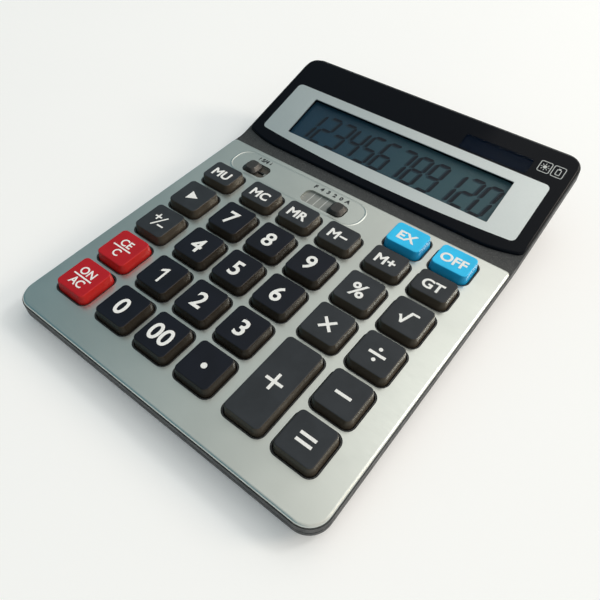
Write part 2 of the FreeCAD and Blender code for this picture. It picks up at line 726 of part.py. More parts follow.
def make_bottom_case_and_cover():
    """The lower shell with its screw tubes, ribs and battery bay, and the cover that slides out of it."""
    outer, hollow, shell = lower_shell()
    cover = shell.common(door_block(0.0)).fuse(door_tongues(0.0))
    rib_top = INNER_FLOOR + DOOR_RIB_HEIGHT
    rib_away = CELL_BUTTON_RADIUS / 2
    cover_ribs = [
        centred_slab(BATTERY_X + side * rib_away, CELL_Y, BAY_WALL, CELL_RADIUS, FLOOR_LEVEL, rib_top)
        for side in (-1, 1)
    ]
    cover = cover.fuse(cover_ribs).removeSplitter()
    half_bay = DOOR_WIDTH / 2 + BAY_MARGIN
    bay_front = DOOR_FRONT_Y - DOOR_PLAY
    bay_outside = slab(
        BATTERY_X - half_bay - BAY_WALL,
        BATTERY_X + half_bay + BAY_WALL,
        bay_front - BAY_WALL,
        DEPTH,
        FLOOR_LEVEL,
        BAY_ROOF_TOP,
    ).common(outer)
    bay_inside = slab(
        BATTERY_X - half_bay, BATTERY_X + half_bay, bay_front, DEPTH, INNER_FLOOR, BAY_ROOF_UNDERSIDE
    ).common(hollow)
    cradle_inner = CELL_RADIUS + CRADLE_PLAY
    cradle = disc(BATTERY_X, CELL_Y, cradle_inner + CRADLE_WALL, CRADLE_BOTTOM, BAY_ROOF_TOP)
    cradle_bore = disc(BATTERY_X, CELL_Y, cradle_inner, CRADLE_BOTTOM, BAY_ROOF_UNDERSIDE)
    clip_window = slab(
        BATTERY_X,
        BATTERY_X + half_bay,
        CELL_Y - CLIP_WIDTH,
        CELL_Y + CLIP_WIDTH,
        CRADLE_BOTTOM,
        BAY_ROOF_UNDERSIDE,
    )
    tail_slot_length = CLIP_WIDTH + TAIL_SLOT_PLAY
    tail_slots = [
        centred_slab(x, CELL_Y, TAIL_SLOT_WIDTH, tail_slot_length, BAY_ROOF_UNDERSIDE, BAY_ROOF_TOP)
        for x in (negative_tail_x(), positive_tail_x())
    ]
    ribs = [
        placed(
            centred_slab(0.0, row, 2 * RIB_HALF_LENGTH, RIB_THICKNESS, -FAR, BOARD_BOTTOM - RIB_GAP), DECK
        ).common(outer)
        for row in RIB_ROWS
    ]
    tubes = [
        disc(x, y, CASE_TUBE_RADIUS, FLOOR_LEVEL, level).common(outer) for x, y, level in case_screw_places()
    ]
    case = shell.fuse(ribs + tubes + [bay_outside]).cut(bay_inside)
    case = case.fuse(cradle).cut([cradle_bore, clip_window] + tail_slots)
    cuts = [door_block(DOOR_PLAY)] + door_tongues(DOOR_PLAY)
    for x, y, level in case_screw_places():
        cuts.append(disc(x, y, CASE_SCREW_HOLE, 0.0, level))
        cuts.append(disc(x, y, COUNTERBORE_RADIUS, 0.0, level - CASE_SCREW_SEAT))
    for x, y in foot_places():
        cuts.append(disc(x, y, FOOT_PAD_RADIUS + FOOT_PAD_PLAY, 0.0, FLOOR_LEVEL + FOOT_PAD_RECESS))
    return case.cut(cuts).removeSplitter(), cover


def negative_tail_x():
    """Where the negative clip's tail goes through the bay's roof."""
    return BATTERY_X + NEGATIVE_TAIL


def positive_tail_x():
    """Where the positive clip's tail goes through the bay's roof."""
    return BATTERY_X + POSITIVE_TAIL


def bent_strip(points, radii, width, sheet, across):
    """A strip of sheet metal or film that follows a path, its width along one direction."""
    path = Part.Wire(rounded_edges(points, radii, closed=False))
    along = (points[1] - points[0]).normalize()
    side = across * (width / 2)
    lift = along.cross(across).normalize() * (sheet / 2)
    start = points[0]
    corners = [start + side + lift, start - side + lift, start - side - lift, start + side - lift]
    section = Part.makePolygon(corners + corners[:1])
    return path.makePipeShell([section], True, False)


def make_battery_clips():
    """Negative leaf on the cell's button, and positive leaf on the side of its can."""
    along_y = Vector(0, 1, 0)
    button_top = CELL_BOTTOM + CELL_CAN_HEIGHT + CELL_BUTTON_HEIGHT
    leaf_low = button_top + CLIP_SHEET
    left = negative_tail_x()
    negative = bent_strip(
        [
            Vector(left, CELL_Y, CLIP_TAIL_TOP),
            Vector(left, CELL_Y, leaf_low + NEGATIVE_RISE),
            Vector(BATTERY_X + NEGATIVE_TOUCH, CELL_Y, leaf_low),
            Vector(BATTERY_X + NEGATIVE_TIP, CELL_Y, leaf_low + CLIP_TIP_RISE),
        ],
        [0, CLIP_BEND, CLIP_BEND, 0],
        CLIP_WIDTH,
        CLIP_SHEET,
        along_y,
    )
    right = positive_tail_x()
    touch = BATTERY_X + CELL_RADIUS + CLIP_SHEET
    positive = bent_strip(
        [
            Vector(right, CELL_Y, CLIP_TAIL_TOP),
            Vector(right, CELL_Y, CELL_BOTTOM + POSITIVE_BEND_HEIGHT),
            Vector(touch, CELL_Y, CELL_BOTTOM + POSITIVE_TOUCH_HEIGHT),
            Vector(touch + CLIP_TIP, CELL_Y, CELL_BOTTOM + CLIP_TIP_RISE),
        ],
        [0, CLIP_BEND, CLIP_BEND, 0],
        CLIP_WIDTH,
        CLIP_SHEET,
        along_y,
    )
    return Part.makeCompound([negative, positive])


def make_battery_cell():
    """A button cell, its wide can below and its narrower button above."""
    can_top = CELL_BOTTOM + CELL_CAN_HEIGHT
    can = disc(BATTERY_X, CELL_Y, CELL_RADIUS, CELL_BOTTOM, can_top)
    can = can.makeFillet(CELL_ROUND, can.Edges)
    button = disc(BATTERY_X, CELL_Y, CELL_BUTTON_RADIUS, can_top, can_top + CELL_BUTTON_HEIGHT)
    return can.fuse(button).removeSplitter()


def foot_places():
    """Centres of the four rubber feet."""
    return [(side * FOOT_PAD_X, y) for side in (-1, 1) for y in (FOOT_PAD_FRONT_Y, FOOT_PAD_BACK_Y)]


def make_rubber_feet():
    """Four round pads in shallow recesses of the floor."""
    pads = []
    for x, y in foot_places():
        pad = disc(x, y, FOOT_PAD_RADIUS, 0.0, FLOOR_LEVEL + FOOT_PAD_RECESS)
        rim = [edge for edge in pad.Edges if edge.BoundBox.ZMax < TINY]
        pads.append(pad.makeFillet(FOOT_PAD_ROUND, rim))
    return Part.makeCompound(pads)


def make_case_screws():
    """Self-tapping screws that hold the two shells together, driven from below."""
    screws = []
    for x, y, level in case_screw_places():
        seat = level - CASE_SCREW_SEAT
        head = disc(x, y, CASE_SCREW_HEAD_RADIUS, seat - CASE_SCREW_HEAD, seat)
        shank = disc(x, y, CASE_SCREW_RADIUS, seat, level + CASE_SCREW_REACH)
        arms = [
            centred_slab(x, y, DRIVE_SLOT, DRIVE_LENGTH, 0.0, seat - CASE_SCREW_HEAD / 2),
            centred_slab(x, y, DRIVE_LENGTH, DRIVE_SLOT, 0.0, seat - CASE_SCREW_HEAD / 2),
        ]
        screws.append(head.fuse(shank).cut(arms).removeSplitter())
    return Part.makeCompound(screws)


def board_screw(x, y, board_bottom, frame):
    """A small pan-head screw up through a board."""
    head = disc(x, y, BOARD_SCREW_HEAD_RADIUS, board_bottom - BOARD_SCREW_HEAD, board_bottom)
    tip = board_bottom + BOARD_SCREW_LENGTH + BOARD_THICKNESS - BOARD_SCREW_TIP_GAP
    shank = disc(x, y, BOARD_SCREW_RADIUS, board_bottom, tip)
    slot = centred_slab(x, y, DRIVE_SLOT, FAR, -FAR, board_bottom - BOARD_SCREW_HEAD / 2)
    return placed(head.fuse(shank).cut(slot), frame)


def make_board_screws():
    """The screws of both boards."""
    screws = [board_screw(x, y, BOARD_BOTTOM, DECK) for x, y in deck_screw_places()]
    screws += [board_screw(x, y, DISPLAY_BOARD_BOTTOM, HEAD) for x, y in head_screw_places()]
    return Part.makeCompound(screws)


def make_key_board():
    """The circuit board under the rubber mat."""
    half = BOARD_HALF_WIDTH
    board = slab(-half, half, BOARD_FRONT, BOARD_BACK, BOARD_BOTTOM, BOARD_TOP, BOARD_CORNER)
    holes = [disc(x, y, BOARD_HOLE_RADIUS, BOARD_BOTTOM, BOARD_TOP) for x, y in deck_screw_places()]
    return placed(board.cut(holes), DECK)


def make_rubber_keypad():
    """A silicone mat with a hollow dome and a contact pill under each key."""
    half = BOARD_HALF_WIDTH
    mat = slab(-half, half, MAT_FRONT, MAT_BACK, BOARD_TOP, MAT_TOP, BOARD_CORNER)
    step_front = MAT_BACK - MAT_STEP_LAP
    step = slab(MAT_STEP_COLUMN, half, step_front, BOARD_BACK, BOARD_TOP, MAT_TOP, BOARD_CORNER)
    places = [place for name in key_names() for place in dome_places(name)]
    up = Vector(0, 0, 1)
    domes = []
    hollows = []
    pills = []
    hollow_height = MAT_THICKNESS + DOME_HEIGHT - DOME_WALL
    hollow_base = DOME_BASE_RADIUS - DOME_WALL
    hollow_top = DOME_TOP_RADIUS - DOME_WALL
    roof = BOARD_TOP + hollow_height
    for x, y in places:
        domes.append(Part.makeCone(DOME_BASE_RADIUS, DOME_TOP_RADIUS, DOME_HEIGHT, Vector(x, y, MAT_TOP), up))
        hollows.append(Part.makeCone(hollow_base, hollow_top, hollow_height, Vector(x, y, BOARD_TOP), up))
        pills.append(disc(x, y, DOME_TOP_RADIUS / 2, roof - DOME_WALL, roof))
    boss_holes = [
        disc(x, y, BOARD_BOSS_RADIUS + BOSS_CLEARANCE, BOARD_TOP, MAT_TOP) for x, y in deck_screw_places()
    ]
    keypad = mat.fuse([step] + domes).cut(hollows + boss_holes).fuse(pills)
    return placed(keypad.removeSplitter(), DECK)


def make_display_panel():
    """The glossy black panel with its window, its solar window and a shallow bed for the silver frame."""
    panel = display_panel_slab(0.0, -PANEL_THICKNESS, 0.0)
    panel = panel.makeFillet(PANEL_EDGE_ROUND, edges_on_top(panel, 0.0))
    cuts = [
        bezel_slab(-BEZEL_THICKNESS, FAR),
        window_slab(0.0, -FAR, FAR),
        solar_slab(0.0, -FAR, FAR, WINDOW_CORNER),
    ]
    return placed(panel.cut(cuts), HEAD)


def bezel_slab(bottom, top):
    """The silver frame's outline, its front edge bowed, as a plate."""
    half = BEZEL_HALF_WIDTH
    left_front = Vector(-half, BEZEL_FRONT_ENDS, bottom)
    right_front = Vector(half, BEZEL_FRONT_ENDS, bottom)
    right_back = Vector(half, BEZEL_BACK, bottom)
    left_back = Vector(-half, BEZEL_BACK, bottom)
    bow = Part.Arc(left_front, Vector(0, BEZEL_FRONT_MIDDLE, bottom), right_front).toShape()
    sides = [
        Part.LineSegment(right_front, right_back).toShape(),
        Part.LineSegment(right_back, left_back).toShape(),
        Part.LineSegment(left_back, left_front).toShape(),
    ]
    plate = Part.Face(Part.Wire([bow] + sides)).extrude(Vector(0, 0, top - bottom))
    rise = Vector(0, 0, (top - bottom) / 2)
    corners = [point + rise for point in (left_front, right_front, right_back, left_back)]
    return plate.makeFillet(BEZEL_CORNER, edges_at(plate, corners))


def window_slab(margin, bottom, top):
    """A plate of the display window's outline, grown by a margin."""
    half = WINDOW_HALF_WIDTH + margin
    return slab(-half, half, WINDOW_FRONT - margin, WINDOW_BACK + margin, bottom, top, WINDOW_CORNER)


def make_display_bezel():
    """The silver frame round the display window."""
    return placed(bezel_slab(-BEZEL_THICKNESS, 0.0).cut(window_slab(0.0, -FAR, FAR)), HEAD)


def make_lcd_window():
    """The clear lens behind the panel."""
    return placed(window_slab(LENS_LAP, -PANEL_THICKNESS - LENS_THICKNESS, -PANEL_THICKNESS), HEAD)


def make_solar_window():
    """The tinted lens over the solar cell, flush with the panel."""
    return placed(solar_slab(-PANEL_GAP, -PANEL_THICKNESS, 0.0, WINDOW_CORNER - PANEL_GAP), HEAD)


def make_solar_cell():
    """The solar cell behind its window."""
    top = -PANEL_THICKNESS - SOLAR_GAP
    return placed(solar_slab(SOLAR_LAP, top - SOLAR_CELL_THICKNESS, top, 0.0), HEAD)


def make_lcd_glass():
    """Two glass plates; the upper one stands out at the front, where its contacts are."""
    half = GLASS_HALF_WIDTH
    middle = GLASS_TOP - GLASS_PLATE
    upper = slab(-half, half, GLASS_FRONT, GLASS_BACK, middle, GLASS_TOP)
    lower = slab(-half, half, GLASS_FRONT + GLASS_LEDGE, GLASS_BACK, middle - GLASS_PLATE, middle)
    return placed(upper.fuse(lower).removeSplitter(), HEAD)


def make_lcd_holder():
    """The frame that carries the display glass and the connector strip."""
    half = HOLDER_HALF_WIDTH
    frame = slab(-half, half, HOLDER_FRONT, HOLDER_BACK, DISPLAY_BOARD_TOP, HOLDER_TOP, HOLDER_CORNER)
    glass_bottom = GLASS_TOP - 2 * GLASS_PLATE
    bed = glass_opening(GLASS_PLAY / 2, glass_bottom, FAR)
    strip_half = STRIP_HALF_LENGTH + GLASS_PLAY
    strip_front = STRIP_FRONT - GLASS_PLAY / 2
    strip_back = STRIP_FRONT + STRIP_WIDTH + GLASS_PLAY / 2
    strip_slot = slab(-strip_half, strip_half, strip_front, strip_back, -FAR, FAR)
    middle = slab(
        -half + 2 * HOLDER_LEDGE,
        half - 2 * HOLDER_LEDGE,
        GLASS_FRONT + GLASS_LEDGE + HOLDER_LEDGE,
        GLASS_BACK - HOLDER_LEDGE,
        -FAR,
        FAR,
        BOARD_CORNER,
    )
    return placed(frame.cut([bed, strip_slot, middle]), HEAD)


def make_elastomer_strip():
    """The rubber strip that connects the glass to the display board."""
    front = STRIP_FRONT
    top = GLASS_TOP - GLASS_PLATE
    strip = slab(-STRIP_HALF_LENGTH, STRIP_HALF_LENGTH, front, front + STRIP_WIDTH, DISPLAY_BOARD_TOP, top)
    return placed(strip, HEAD)


def make_display_board():
    """The circuit board behind the display, its rear corners notched for the case's screw bosses."""
    half = DISPLAY_BOARD_HALF_WIDTH
    board = slab(
        -half,
        half,
        DISPLAY_BOARD_FRONT,
        DISPLAY_BOARD_BACK,
        DISPLAY_BOARD_BOTTOM,
        DISPLAY_BOARD_TOP,
        BOARD_CORNER,
    )
    cuts = [disc(x, y, BOARD_HOLE_RADIUS, -FAR, FAR) for x, y in head_screw_places()]
    notch = DISPLAY_BOARD_NOTCH_COLUMN
    cuts.append(slab(notch, WIDTH, DISPLAY_BOARD_NOTCH_ROW, HEAD_LENGTH, -FAR, FAR))
    cuts.append(slab(-WIDTH, -notch, DISPLAY_BOARD_NOTCH_ROW, HEAD_LENGTH, -FAR, FAR))
    return placed(board.cut(cuts), HEAD)


def make_controller_chip():
    """The bonded chip under its round drop of black resin."""
    drop = disc(0.0, CHIP_ROW, CHIP_RADIUS, DISPLAY_BOARD_BOTTOM - CHIP_HEIGHT, DISPLAY_BOARD_BOTTOM)
    low = DISPLAY_BOARD_BOTTOM - CHIP_HEIGHT
    rim = [edge for edge in drop.Edges if edge.BoundBox.ZMax < low + TINY]
    return placed(drop.makeFillet(CHIP_ROUND, rim), HEAD)


def make_selector(rest_x):
    """A slide knob with sloped sides, its stem and the foot that keeps it in the slot."""
    half_length = KNOB_LENGTH / 2
    half_width = KNOB_WIDTH / 2
    y = SLOT_ROW
    low = rectangle(rest_x - half_length, rest_x + half_length, y - half_width, y + half_width, KNOB_SHOULDER)
    top_half_length = KNOB_TOP_LENGTH / 2
    top_half_width = KNOB_TOP_WIDTH / 2
    high = rectangle(
        rest_x - top_half_length, rest_x + top_half_length, y - top_half_width, y + top_half_width, KNOB_TOP
    )
    radii = [KNOB_CORNER] * 4
    outlines = [Part.Wire(rounded_edges(points, radii)) for points in (low, high)]
    grip = Part.makeLoft(outlines, True, True)
    grip = grip.makeFillet(KNOB_ROUND, edges_on_top(grip, KNOB_TOP))
    base = centred_slab(rest_x, y, KNOB_LENGTH, KNOB_WIDTH, KNOB_BASE, KNOB_SHOULDER, KNOB_CORNER)
    stem = centred_slab(rest_x, y, STEM_LENGTH, STEM_WIDTH, FOOT_TOP, KNOB_BASE)
    foot = centred_slab(rest_x, y, FOOT_LENGTH, FOOT_WIDTH, FOOT_BOTTOM, FOOT_TOP)
    return placed(grip.fuse([base, stem, foot]).removeSplitter(), DECK)


def make_wiper(rest_x):
    """The spring contact under a selector's foot, bent down to the key board."""
    half = FOOT_LENGTH / 2
    sheet_level = FOOT_BOTTOM - WIPER_SHEET / 2
    touch_level = BOARD_TOP + WIPER_SHEET
    points = [
        Vector(rest_x + half, SLOT_ROW, sheet_level),
        Vector(rest_x - half, SLOT_ROW, sheet_level),
        Vector(rest_x + half / 4, SLOT_ROW, touch_level),
        Vector(rest_x + half, SLOT_ROW, touch_level + WIPER_TIP_RISE),
    ]
    radii = [0, WIPER_BEND, WIPER_BEND, 0]
    return placed(bent_strip(points, radii, WIPER_WIDTH, WIPER_SHEET, Vector(0, 1, 0)), DECK)


def make_switch_strip():
    """The pale floor of both selector slots, with a slit for each stem."""
    top = STRIP_TOP
    strip = switch_strip_slab(0.0, top - SWITCH_STRIP_THICKNESS, top)
    return placed(strip.cut(selector_slits(-FAR, FAR)), DECK)


def make_ribbon_cable():
    """The flat cable under the bend, from the key board to the display board."""
    under_key_board = BOARD_BOTTOM - RIBBON_SHEET / 2
    under_display_board = DISPLAY_BOARD_BOTTOM - RIBBON_SHEET / 2
    points = [
        DECK.multVec(Vector(0, BOARD_BACK - RIBBON_LAP, under_key_board)),
        DECK.multVec(Vector(0, BOARD_BACK + RIBBON_SLACK, under_key_board)),
        HEAD.multVec(Vector(0, DISPLAY_BOARD_FRONT - RIBBON_SLACK, under_display_board)),
        HEAD.multVec(Vector(0, DISPLAY_BOARD_FRONT + RIBBON_LAP, under_display_board)),
    ]
    radii = [0, RIBBON_BEND, RIBBON_BEND, 0]
    return bent_strip(points, radii, 2 * RIBBON_HALF_WIDTH, RIBBON_SHEET, Vector(1, 0, 0))


def wire(points):
    """A thin round wire whose bends are as large as its runs allow."""
    radii = [0.0]
    for before, corner, after in zip(points, points[1:], points[2:]):
        backward = before - corner
        forward = after - corner
        turn = math.pi - backward.getAngle(forward)
        radii.append(WIRE_BEND * min(backward.Length, forward.Length) / math.tan(turn / 2))
    radii.append(0.0)
    path = Part.Wire(rounded_edges(points, radii, closed=False))
    along = (points[1] - points[0]).normalize()
    section = Part.Wire(Part.makeCircle(WIRE_RADIUS, points[0], along))
    return path.makePipeShell([section], True, False)


def solar_wire(x):
    """One wire from the solar cell's back to the display board."""
    cell_back = -PANEL_THICKNESS - SOLAR_GAP - SOLAR_CELL_THICKNESS
    points = [
        Vector(x, SOLAR_WIRE_CELL_ROW, cell_back),
        Vector(x, SOLAR_WIRE_CELL_ROW, cell_back - SOLAR_WIRE_STUB),
        Vector(x, SOLAR_WIRE_BOARD_ROW, DISPLAY_BOARD_TOP + SOLAR_WIRE_STUB),
        Vector(x, SOLAR_WIRE_BOARD_ROW, DISPLAY_BOARD_TOP),
    ]
    return wire([HEAD.multVec(point) for point in points])


def battery_wire(tail_x):
    """One wire from a battery clip's tail up to the display board's underside."""
    start = Vector(tail_x, CELL_Y, CLIP_TAIL_TOP)
    row = HEAD.inverse().multVec(start).y
    x = tail_x + BATTERY_WIRE_ACROSS
    row += BATTERY_WIRE_ALONG
    board = HEAD.multVec(Vector(x, row, DISPLAY_BOARD_BOTTOM))
    below = HEAD.multVec(Vector(x, row, DISPLAY_BOARD_BOTTOM - BATTERY_WIRE_STUB))
    return wire([start, start + Vector(0, 0, BATTERY_WIRE_STUB), below, board])


def make_lead_wires():
    """Two wires from the solar cell and two from the battery clips."""
    solar = [solar_wire(x) for x in SOLAR_WIRE_COLUMNS]
    battery = [battery_wire(x) for x in (negative_tail_x(), positive_tail_x())]
    return Part.makeCompound(solar + battery)


def build():
    """Every node's name and shape."""
    bottom_case, battery_cover = make_bottom_case_and_cover()
    top_case, head_case = make_top_and_head_case()
    nodes = {
        "bottom_case": bottom_case,
        "battery_cover": battery_cover,
        "top_case": top_case,
        "head_case": head_case,
        "faceplate": make_faceplate(),
        "display_panel": make_display_panel(),
        "display_bezel": make_display_bezel(),
        "lcd_window": make_lcd_window(),
        "solar_window": make_solar_window(),
        "solar_cell": make_solar_cell(),
        "lcd_glass": make_lcd_glass(),
        "lcd_holder": make_lcd_holder(),
        "elastomer_strip": make_elastomer_strip(),
        "display_board": make_display_board(),
        "controller_chip": make_controller_chip(),
        "key_board": make_key_board(),
        "rubber_keypad": make_rubber_keypad(),
        "ribbon_cable": make_ribbon_cable(),
        "lead_wires": make_lead_wires(),
        "battery_cell": make_battery_cell(),
        "battery_clips": make_battery_clips(),
        "case_screws": make_case_screws(),
        "board_screws": make_board_screws(),
        "rubber_feet": make_rubber_feet(),
        "switch_strip": make_switch_strip(),
        "rounding_selector": make_selector(ROUNDING_X),
        "decimal_selector": make_selector(DECIMAL_X),
        "rounding_wiper": make_wiper(ROUNDING_X),
        "decimal_wiper": make_wiper(DECIMAL_X),
    }
    for name in key_names():
        nodes[name] = make_key(name)
    return nodes


def main():
    """Write one file per node."""
    os.makedirs("parts", exist_ok=True)
    for name, shape in build().items():
        print(name, "solids", len(shape.Solids), "valid", shape.isValid(), "volume", round(shape.Volume, 1))
        shape.exportStep("parts/" + name + ".step")


if __name__ == "__main__":
    main()
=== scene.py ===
"""Looks of a twelve-digit desk calculator: finishes, printed legends, display figures, light and camera."""
import json
import logging
import math
from dataclasses import dataclass
from enum import Enum
from typing import ClassVar, Iterable, Optional, Union

import bmesh
import bpy
from mathutils import Color, Matrix, Vector


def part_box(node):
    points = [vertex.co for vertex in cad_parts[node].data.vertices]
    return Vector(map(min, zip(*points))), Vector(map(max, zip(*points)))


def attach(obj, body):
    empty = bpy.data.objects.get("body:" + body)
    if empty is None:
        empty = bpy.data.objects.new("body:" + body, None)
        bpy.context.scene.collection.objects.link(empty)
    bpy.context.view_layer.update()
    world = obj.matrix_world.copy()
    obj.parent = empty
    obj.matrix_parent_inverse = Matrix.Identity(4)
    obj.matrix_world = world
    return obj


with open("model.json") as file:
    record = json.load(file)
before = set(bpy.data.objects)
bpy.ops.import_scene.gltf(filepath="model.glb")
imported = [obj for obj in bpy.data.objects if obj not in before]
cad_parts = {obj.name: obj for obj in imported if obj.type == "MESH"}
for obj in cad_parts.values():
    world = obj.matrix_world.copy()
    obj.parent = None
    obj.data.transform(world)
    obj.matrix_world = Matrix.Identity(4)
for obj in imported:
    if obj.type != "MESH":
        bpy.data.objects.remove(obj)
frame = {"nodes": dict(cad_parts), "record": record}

LOG = logging.getLogger("desk_calculator")

Colour = tuple[float, float, float]
Place = tuple[float, float, float]
Point = tuple[float, float]
Range = tuple[float, float]
Socket = bpy.types.NodeSocket

MM = 0.001
CASE_BODY = "case"

# The key deck and the display head, as planes of the part's frame
DECK_FRONT_Y = -103.043 * MM
DECK_FRONT_Z = 11.0 * MM
DECK_TILT = math.radians(2.5)
HEAD_START_Y = 135.5 * MM
HEAD_START_N = -2.0 * MM
HEAD_TILT = math.radians(15.2)

DECK = Matrix.Translation((0.0, DECK_FRONT_Y, DECK_FRONT_Z)) @ Matrix.Rotation(DECK_TILT, 4, "X")
HEAD = DECK @ Matrix.Translation((0.0, HEAD_START_Y, HEAD_START_N)) @ Matrix.Rotation(HEAD_TILT, 4, "X")

# Printed and raised marks
PRINT_THICKNESS = 0.03 * MM
PRINT_LIFT = 0.01 * MM
ROUND_STEPS = 32
CORNER_STEPS = 8
ROUND_PROFILE = 0.5
LETTER_STEPS = 5
LETTER_EDGE_STEPS = 1
LETTER_MERGE = 1e-5

# Layers of a noise pattern, and stretches of it that are spread over the whole of what it drives
ONE_LAYER = 1.0
TWO_LAYERS = 2.0
NOISE_RANGE: Range = (0.3, 0.7)
SMEAR_RANGE: Range = (0.4, 0.75)
WHOLE: Range = (0.0, 1.0)

# Sockets of a Mix node that mixes colours
MIX_FIRST = 6
MIX_SECOND = 7
MIX_RESULT = 2

# Highest value of a screen's colour
SCREEN_TOP = 255


def from_screen(red: int, green: int, blue: int) -> Colour:
    """Turn a colour as a screen shows it into the linear values that a shader takes.

    Args:
        red: Red, 0 to 255.
        green: Green, 0 to 255.
        blue: Blue, 0 to 255.

    Returns:
        The three linear values.
    """
    shown = Color((red / SCREEN_TOP, green / SCREEN_TOP, blue / SCREEN_TOP))
    return tuple(shown.from_srgb_to_scene_linear())


def scaled(colour: Colour, share: float) -> Colour:
    """Make a colour lighter or darker by a factor."""
    return (colour[0] * share, colour[1] * share, colour[2] * share)


class Slope(Enum):
    """How a mapped value goes from one end to the other."""

    SMOOTH = "SMOOTHSTEP"
    STRAIGHT = "LINEAR"


class NodeSheet:
    """The nodes of a material or of the sky, with short calls for what they share."""

    def __init__(self, tree: bpy.types.NodeTree) -> None:
        """Take a tree of nodes to add to."""
        self.tree = tree

    def link(self, source: Socket, target: Socket) -> None:
        """Join an output to an input."""
        self.tree.links.new(source, target)

    def split(self, vector: Socket, axis: str) -> Socket:
        """Give one axis of a vector.

        Args:
            vector: Socket to read.
            axis: X, Y or Z.

        Returns:
            That axis's value.
        """
        node = self.tree.nodes.new("ShaderNodeSeparateXYZ")
        self.link(vector, node.inputs["Vector"])
        return node.outputs[axis]

    def combine(self, operation: str, first: Socket, second: Union[Socket, float]) -> Socket:
        """Work out a value from two others.

        Args:
            operation: What is done with them.
            first: The first value.
            second: The second value, a socket or a number.

        Returns:
            The result.
        """
        node = self.tree.nodes.new("ShaderNodeMath")
        node.operation = operation
        self.link(first, node.inputs[0])
        if isinstance(second, Socket):
            self.link(second, node.inputs[1])
        else:
            node.inputs[1].default_value = second
        return node.outputs["Value"]

    def part_of(self, value: Socket, reach: Range, result: Range = WHOLE,
                slope: Slope = Slope.SMOOTH) -> Socket:
        """Map a value from one range to another.

        Args:
            value: Socket to read.
            reach: Values that give the two ends of the result.
            result: The result's two ends.
            slope: How it goes from one end to the other.

        Returns:
            The mapped value.
        """
        node = self.tree.nodes.new("ShaderNodeMapRange")
        node.interpolation_type = slope.value
        ends = zip(("From Min", "From Max", "To Min", "To Max"), (*reach, *result))
        for name, end in ends:
            node.inputs[name].default_value = end
        self.link(value, node.inputs["Value"])
        return node.outputs["Result"]

    def blend(self, share: Socket, first: Union[Socket, Colour], second: Colour) -> Socket:
        """Mix two colours by a value.

        Args:
            share: 0 gives the first colour and 1 the second.
            first: Colour at 0, a socket or its values.
            second: Colour at 1.

        Returns:
            The mixed colour.
        """
        node = self.tree.nodes.new("ShaderNodeMix")
        node.data_type = "RGBA"
        if isinstance(first, Socket):
            self.link(first, node.inputs[MIX_FIRST])
        else:
            node.inputs[MIX_FIRST].default_value = (*first, 1.0)
        node.inputs[MIX_SECOND].default_value = (*second, 1.0)
        self.link(share, node.inputs["Factor"])
        return node.outputs[MIX_RESULT]


class ShaderSheet(NodeSheet):
    """One material's nodes, with short calls for the patterns that the finishes share."""

    def __init__(self, name: str) -> None:
        """Start a material with a plain shader and Object coordinates."""
        self.material = bpy.data.materials.new(name)
        self.material.use_nodes = True
        super().__init__(self.material.node_tree)
        self.shader = self.tree.nodes["Principled BSDF"]
        self.place = self.tree.nodes.new("ShaderNodeTexCoord").outputs["Object"]

    def set(self, **values: Union[float, tuple[float, ...]]) -> None:
        """Set constants on the shader's own sockets, with spaces written as underscores."""
        for name, value in values.items():
            self.shader.inputs[name.replace("_", " ")].default_value = value

    def stretched(self, along: Place, turn: float = 0.0) -> Socket:
        """Give Object coordinates that are stretched and turned.

        Args:
            along: Scale on each axis.
            turn: Turn about Z in radians.

        Returns:
            The coordinates' socket.
        """
        node = self.tree.nodes.new("ShaderNodeMapping")
        node.inputs["Scale"].default_value = along
        node.inputs["Rotation"].default_value[2] = turn
        self.link(self.place, node.inputs["Vector"])
        return node.outputs["Vector"]

    def noise(self, size: float, layers: float = TWO_LAYERS, place: Optional[Socket] = None) -> Socket:
        """Add a noise pattern.

        Args:
            size: Size of its grains in metres.
            layers: How many finer layers it has.
            place: Coordinates to read, or the plain Object ones.

        Returns:
            The pattern's value, about 0.5 on average.
        """
        node = self.tree.nodes.new("ShaderNodeTexNoise")
        node.inputs["Scale"].default_value = 1.0 / size
        node.inputs["Detail"].default_value = layers
        self.link(place or self.place, node.inputs["Vector"])
        return node.outputs["Fac"]

    def around(self, pattern: Socket, middle: float, spread: float) -> Socket:
        """Let a noise pattern move a value to both sides of its middle."""
        return self.part_of(pattern, NOISE_RANGE, (middle - spread, middle + spread))

    def shaded(self, share: Socket, colour: Colour, shades: Range) -> Socket:
        """Mix two shades of a colour by a value.

        Args:
            share: 0 gives the first shade and 1 the second.
            colour: The colour.
            shades: What the colour is multiplied by for each shade.

        Returns:
            The mixed colour.
        """
        return self.blend(share, scaled(colour, shades[0]), scaled(colour, shades[1]))

    def two_tone(self, pattern: Socket, colour: Colour, spread: float) -> Socket:
        """Let a noise pattern make a colour darker and lighter by a share of it."""
        share = self.part_of(pattern, NOISE_RANGE)
        return self.shaded(share, colour, (1.0 - spread, 1.0 + spread))

    def bump(self, height: Socket, depth: float) -> None:
        """Roughen the surface by a pattern.

        Args:
            height: The pattern.
            depth: How deep it goes, in metres.
        """
        node = self.tree.nodes.new("ShaderNodeBump")
        node.inputs["Distance"].default_value = depth
        node.inputs["Strength"].default_value = 1.0
        self.link(height, node.inputs["Height"])
        self.link(node.outputs["Normal"], self.shader.inputs["Normal"])

    def colour(self, source: Socket) -> None:
        """Drive the base colour from a pattern."""
        self.link(source, self.shader.inputs["Base Color"])

    def roughness(self, source: Socket) -> None:
        """Drive the roughness from a pattern."""
        self.link(source, self.shader.inputs["Roughness"])


# Materials made so far, by the finish's name
MADE: dict[str, bpy.types.Material] = {}


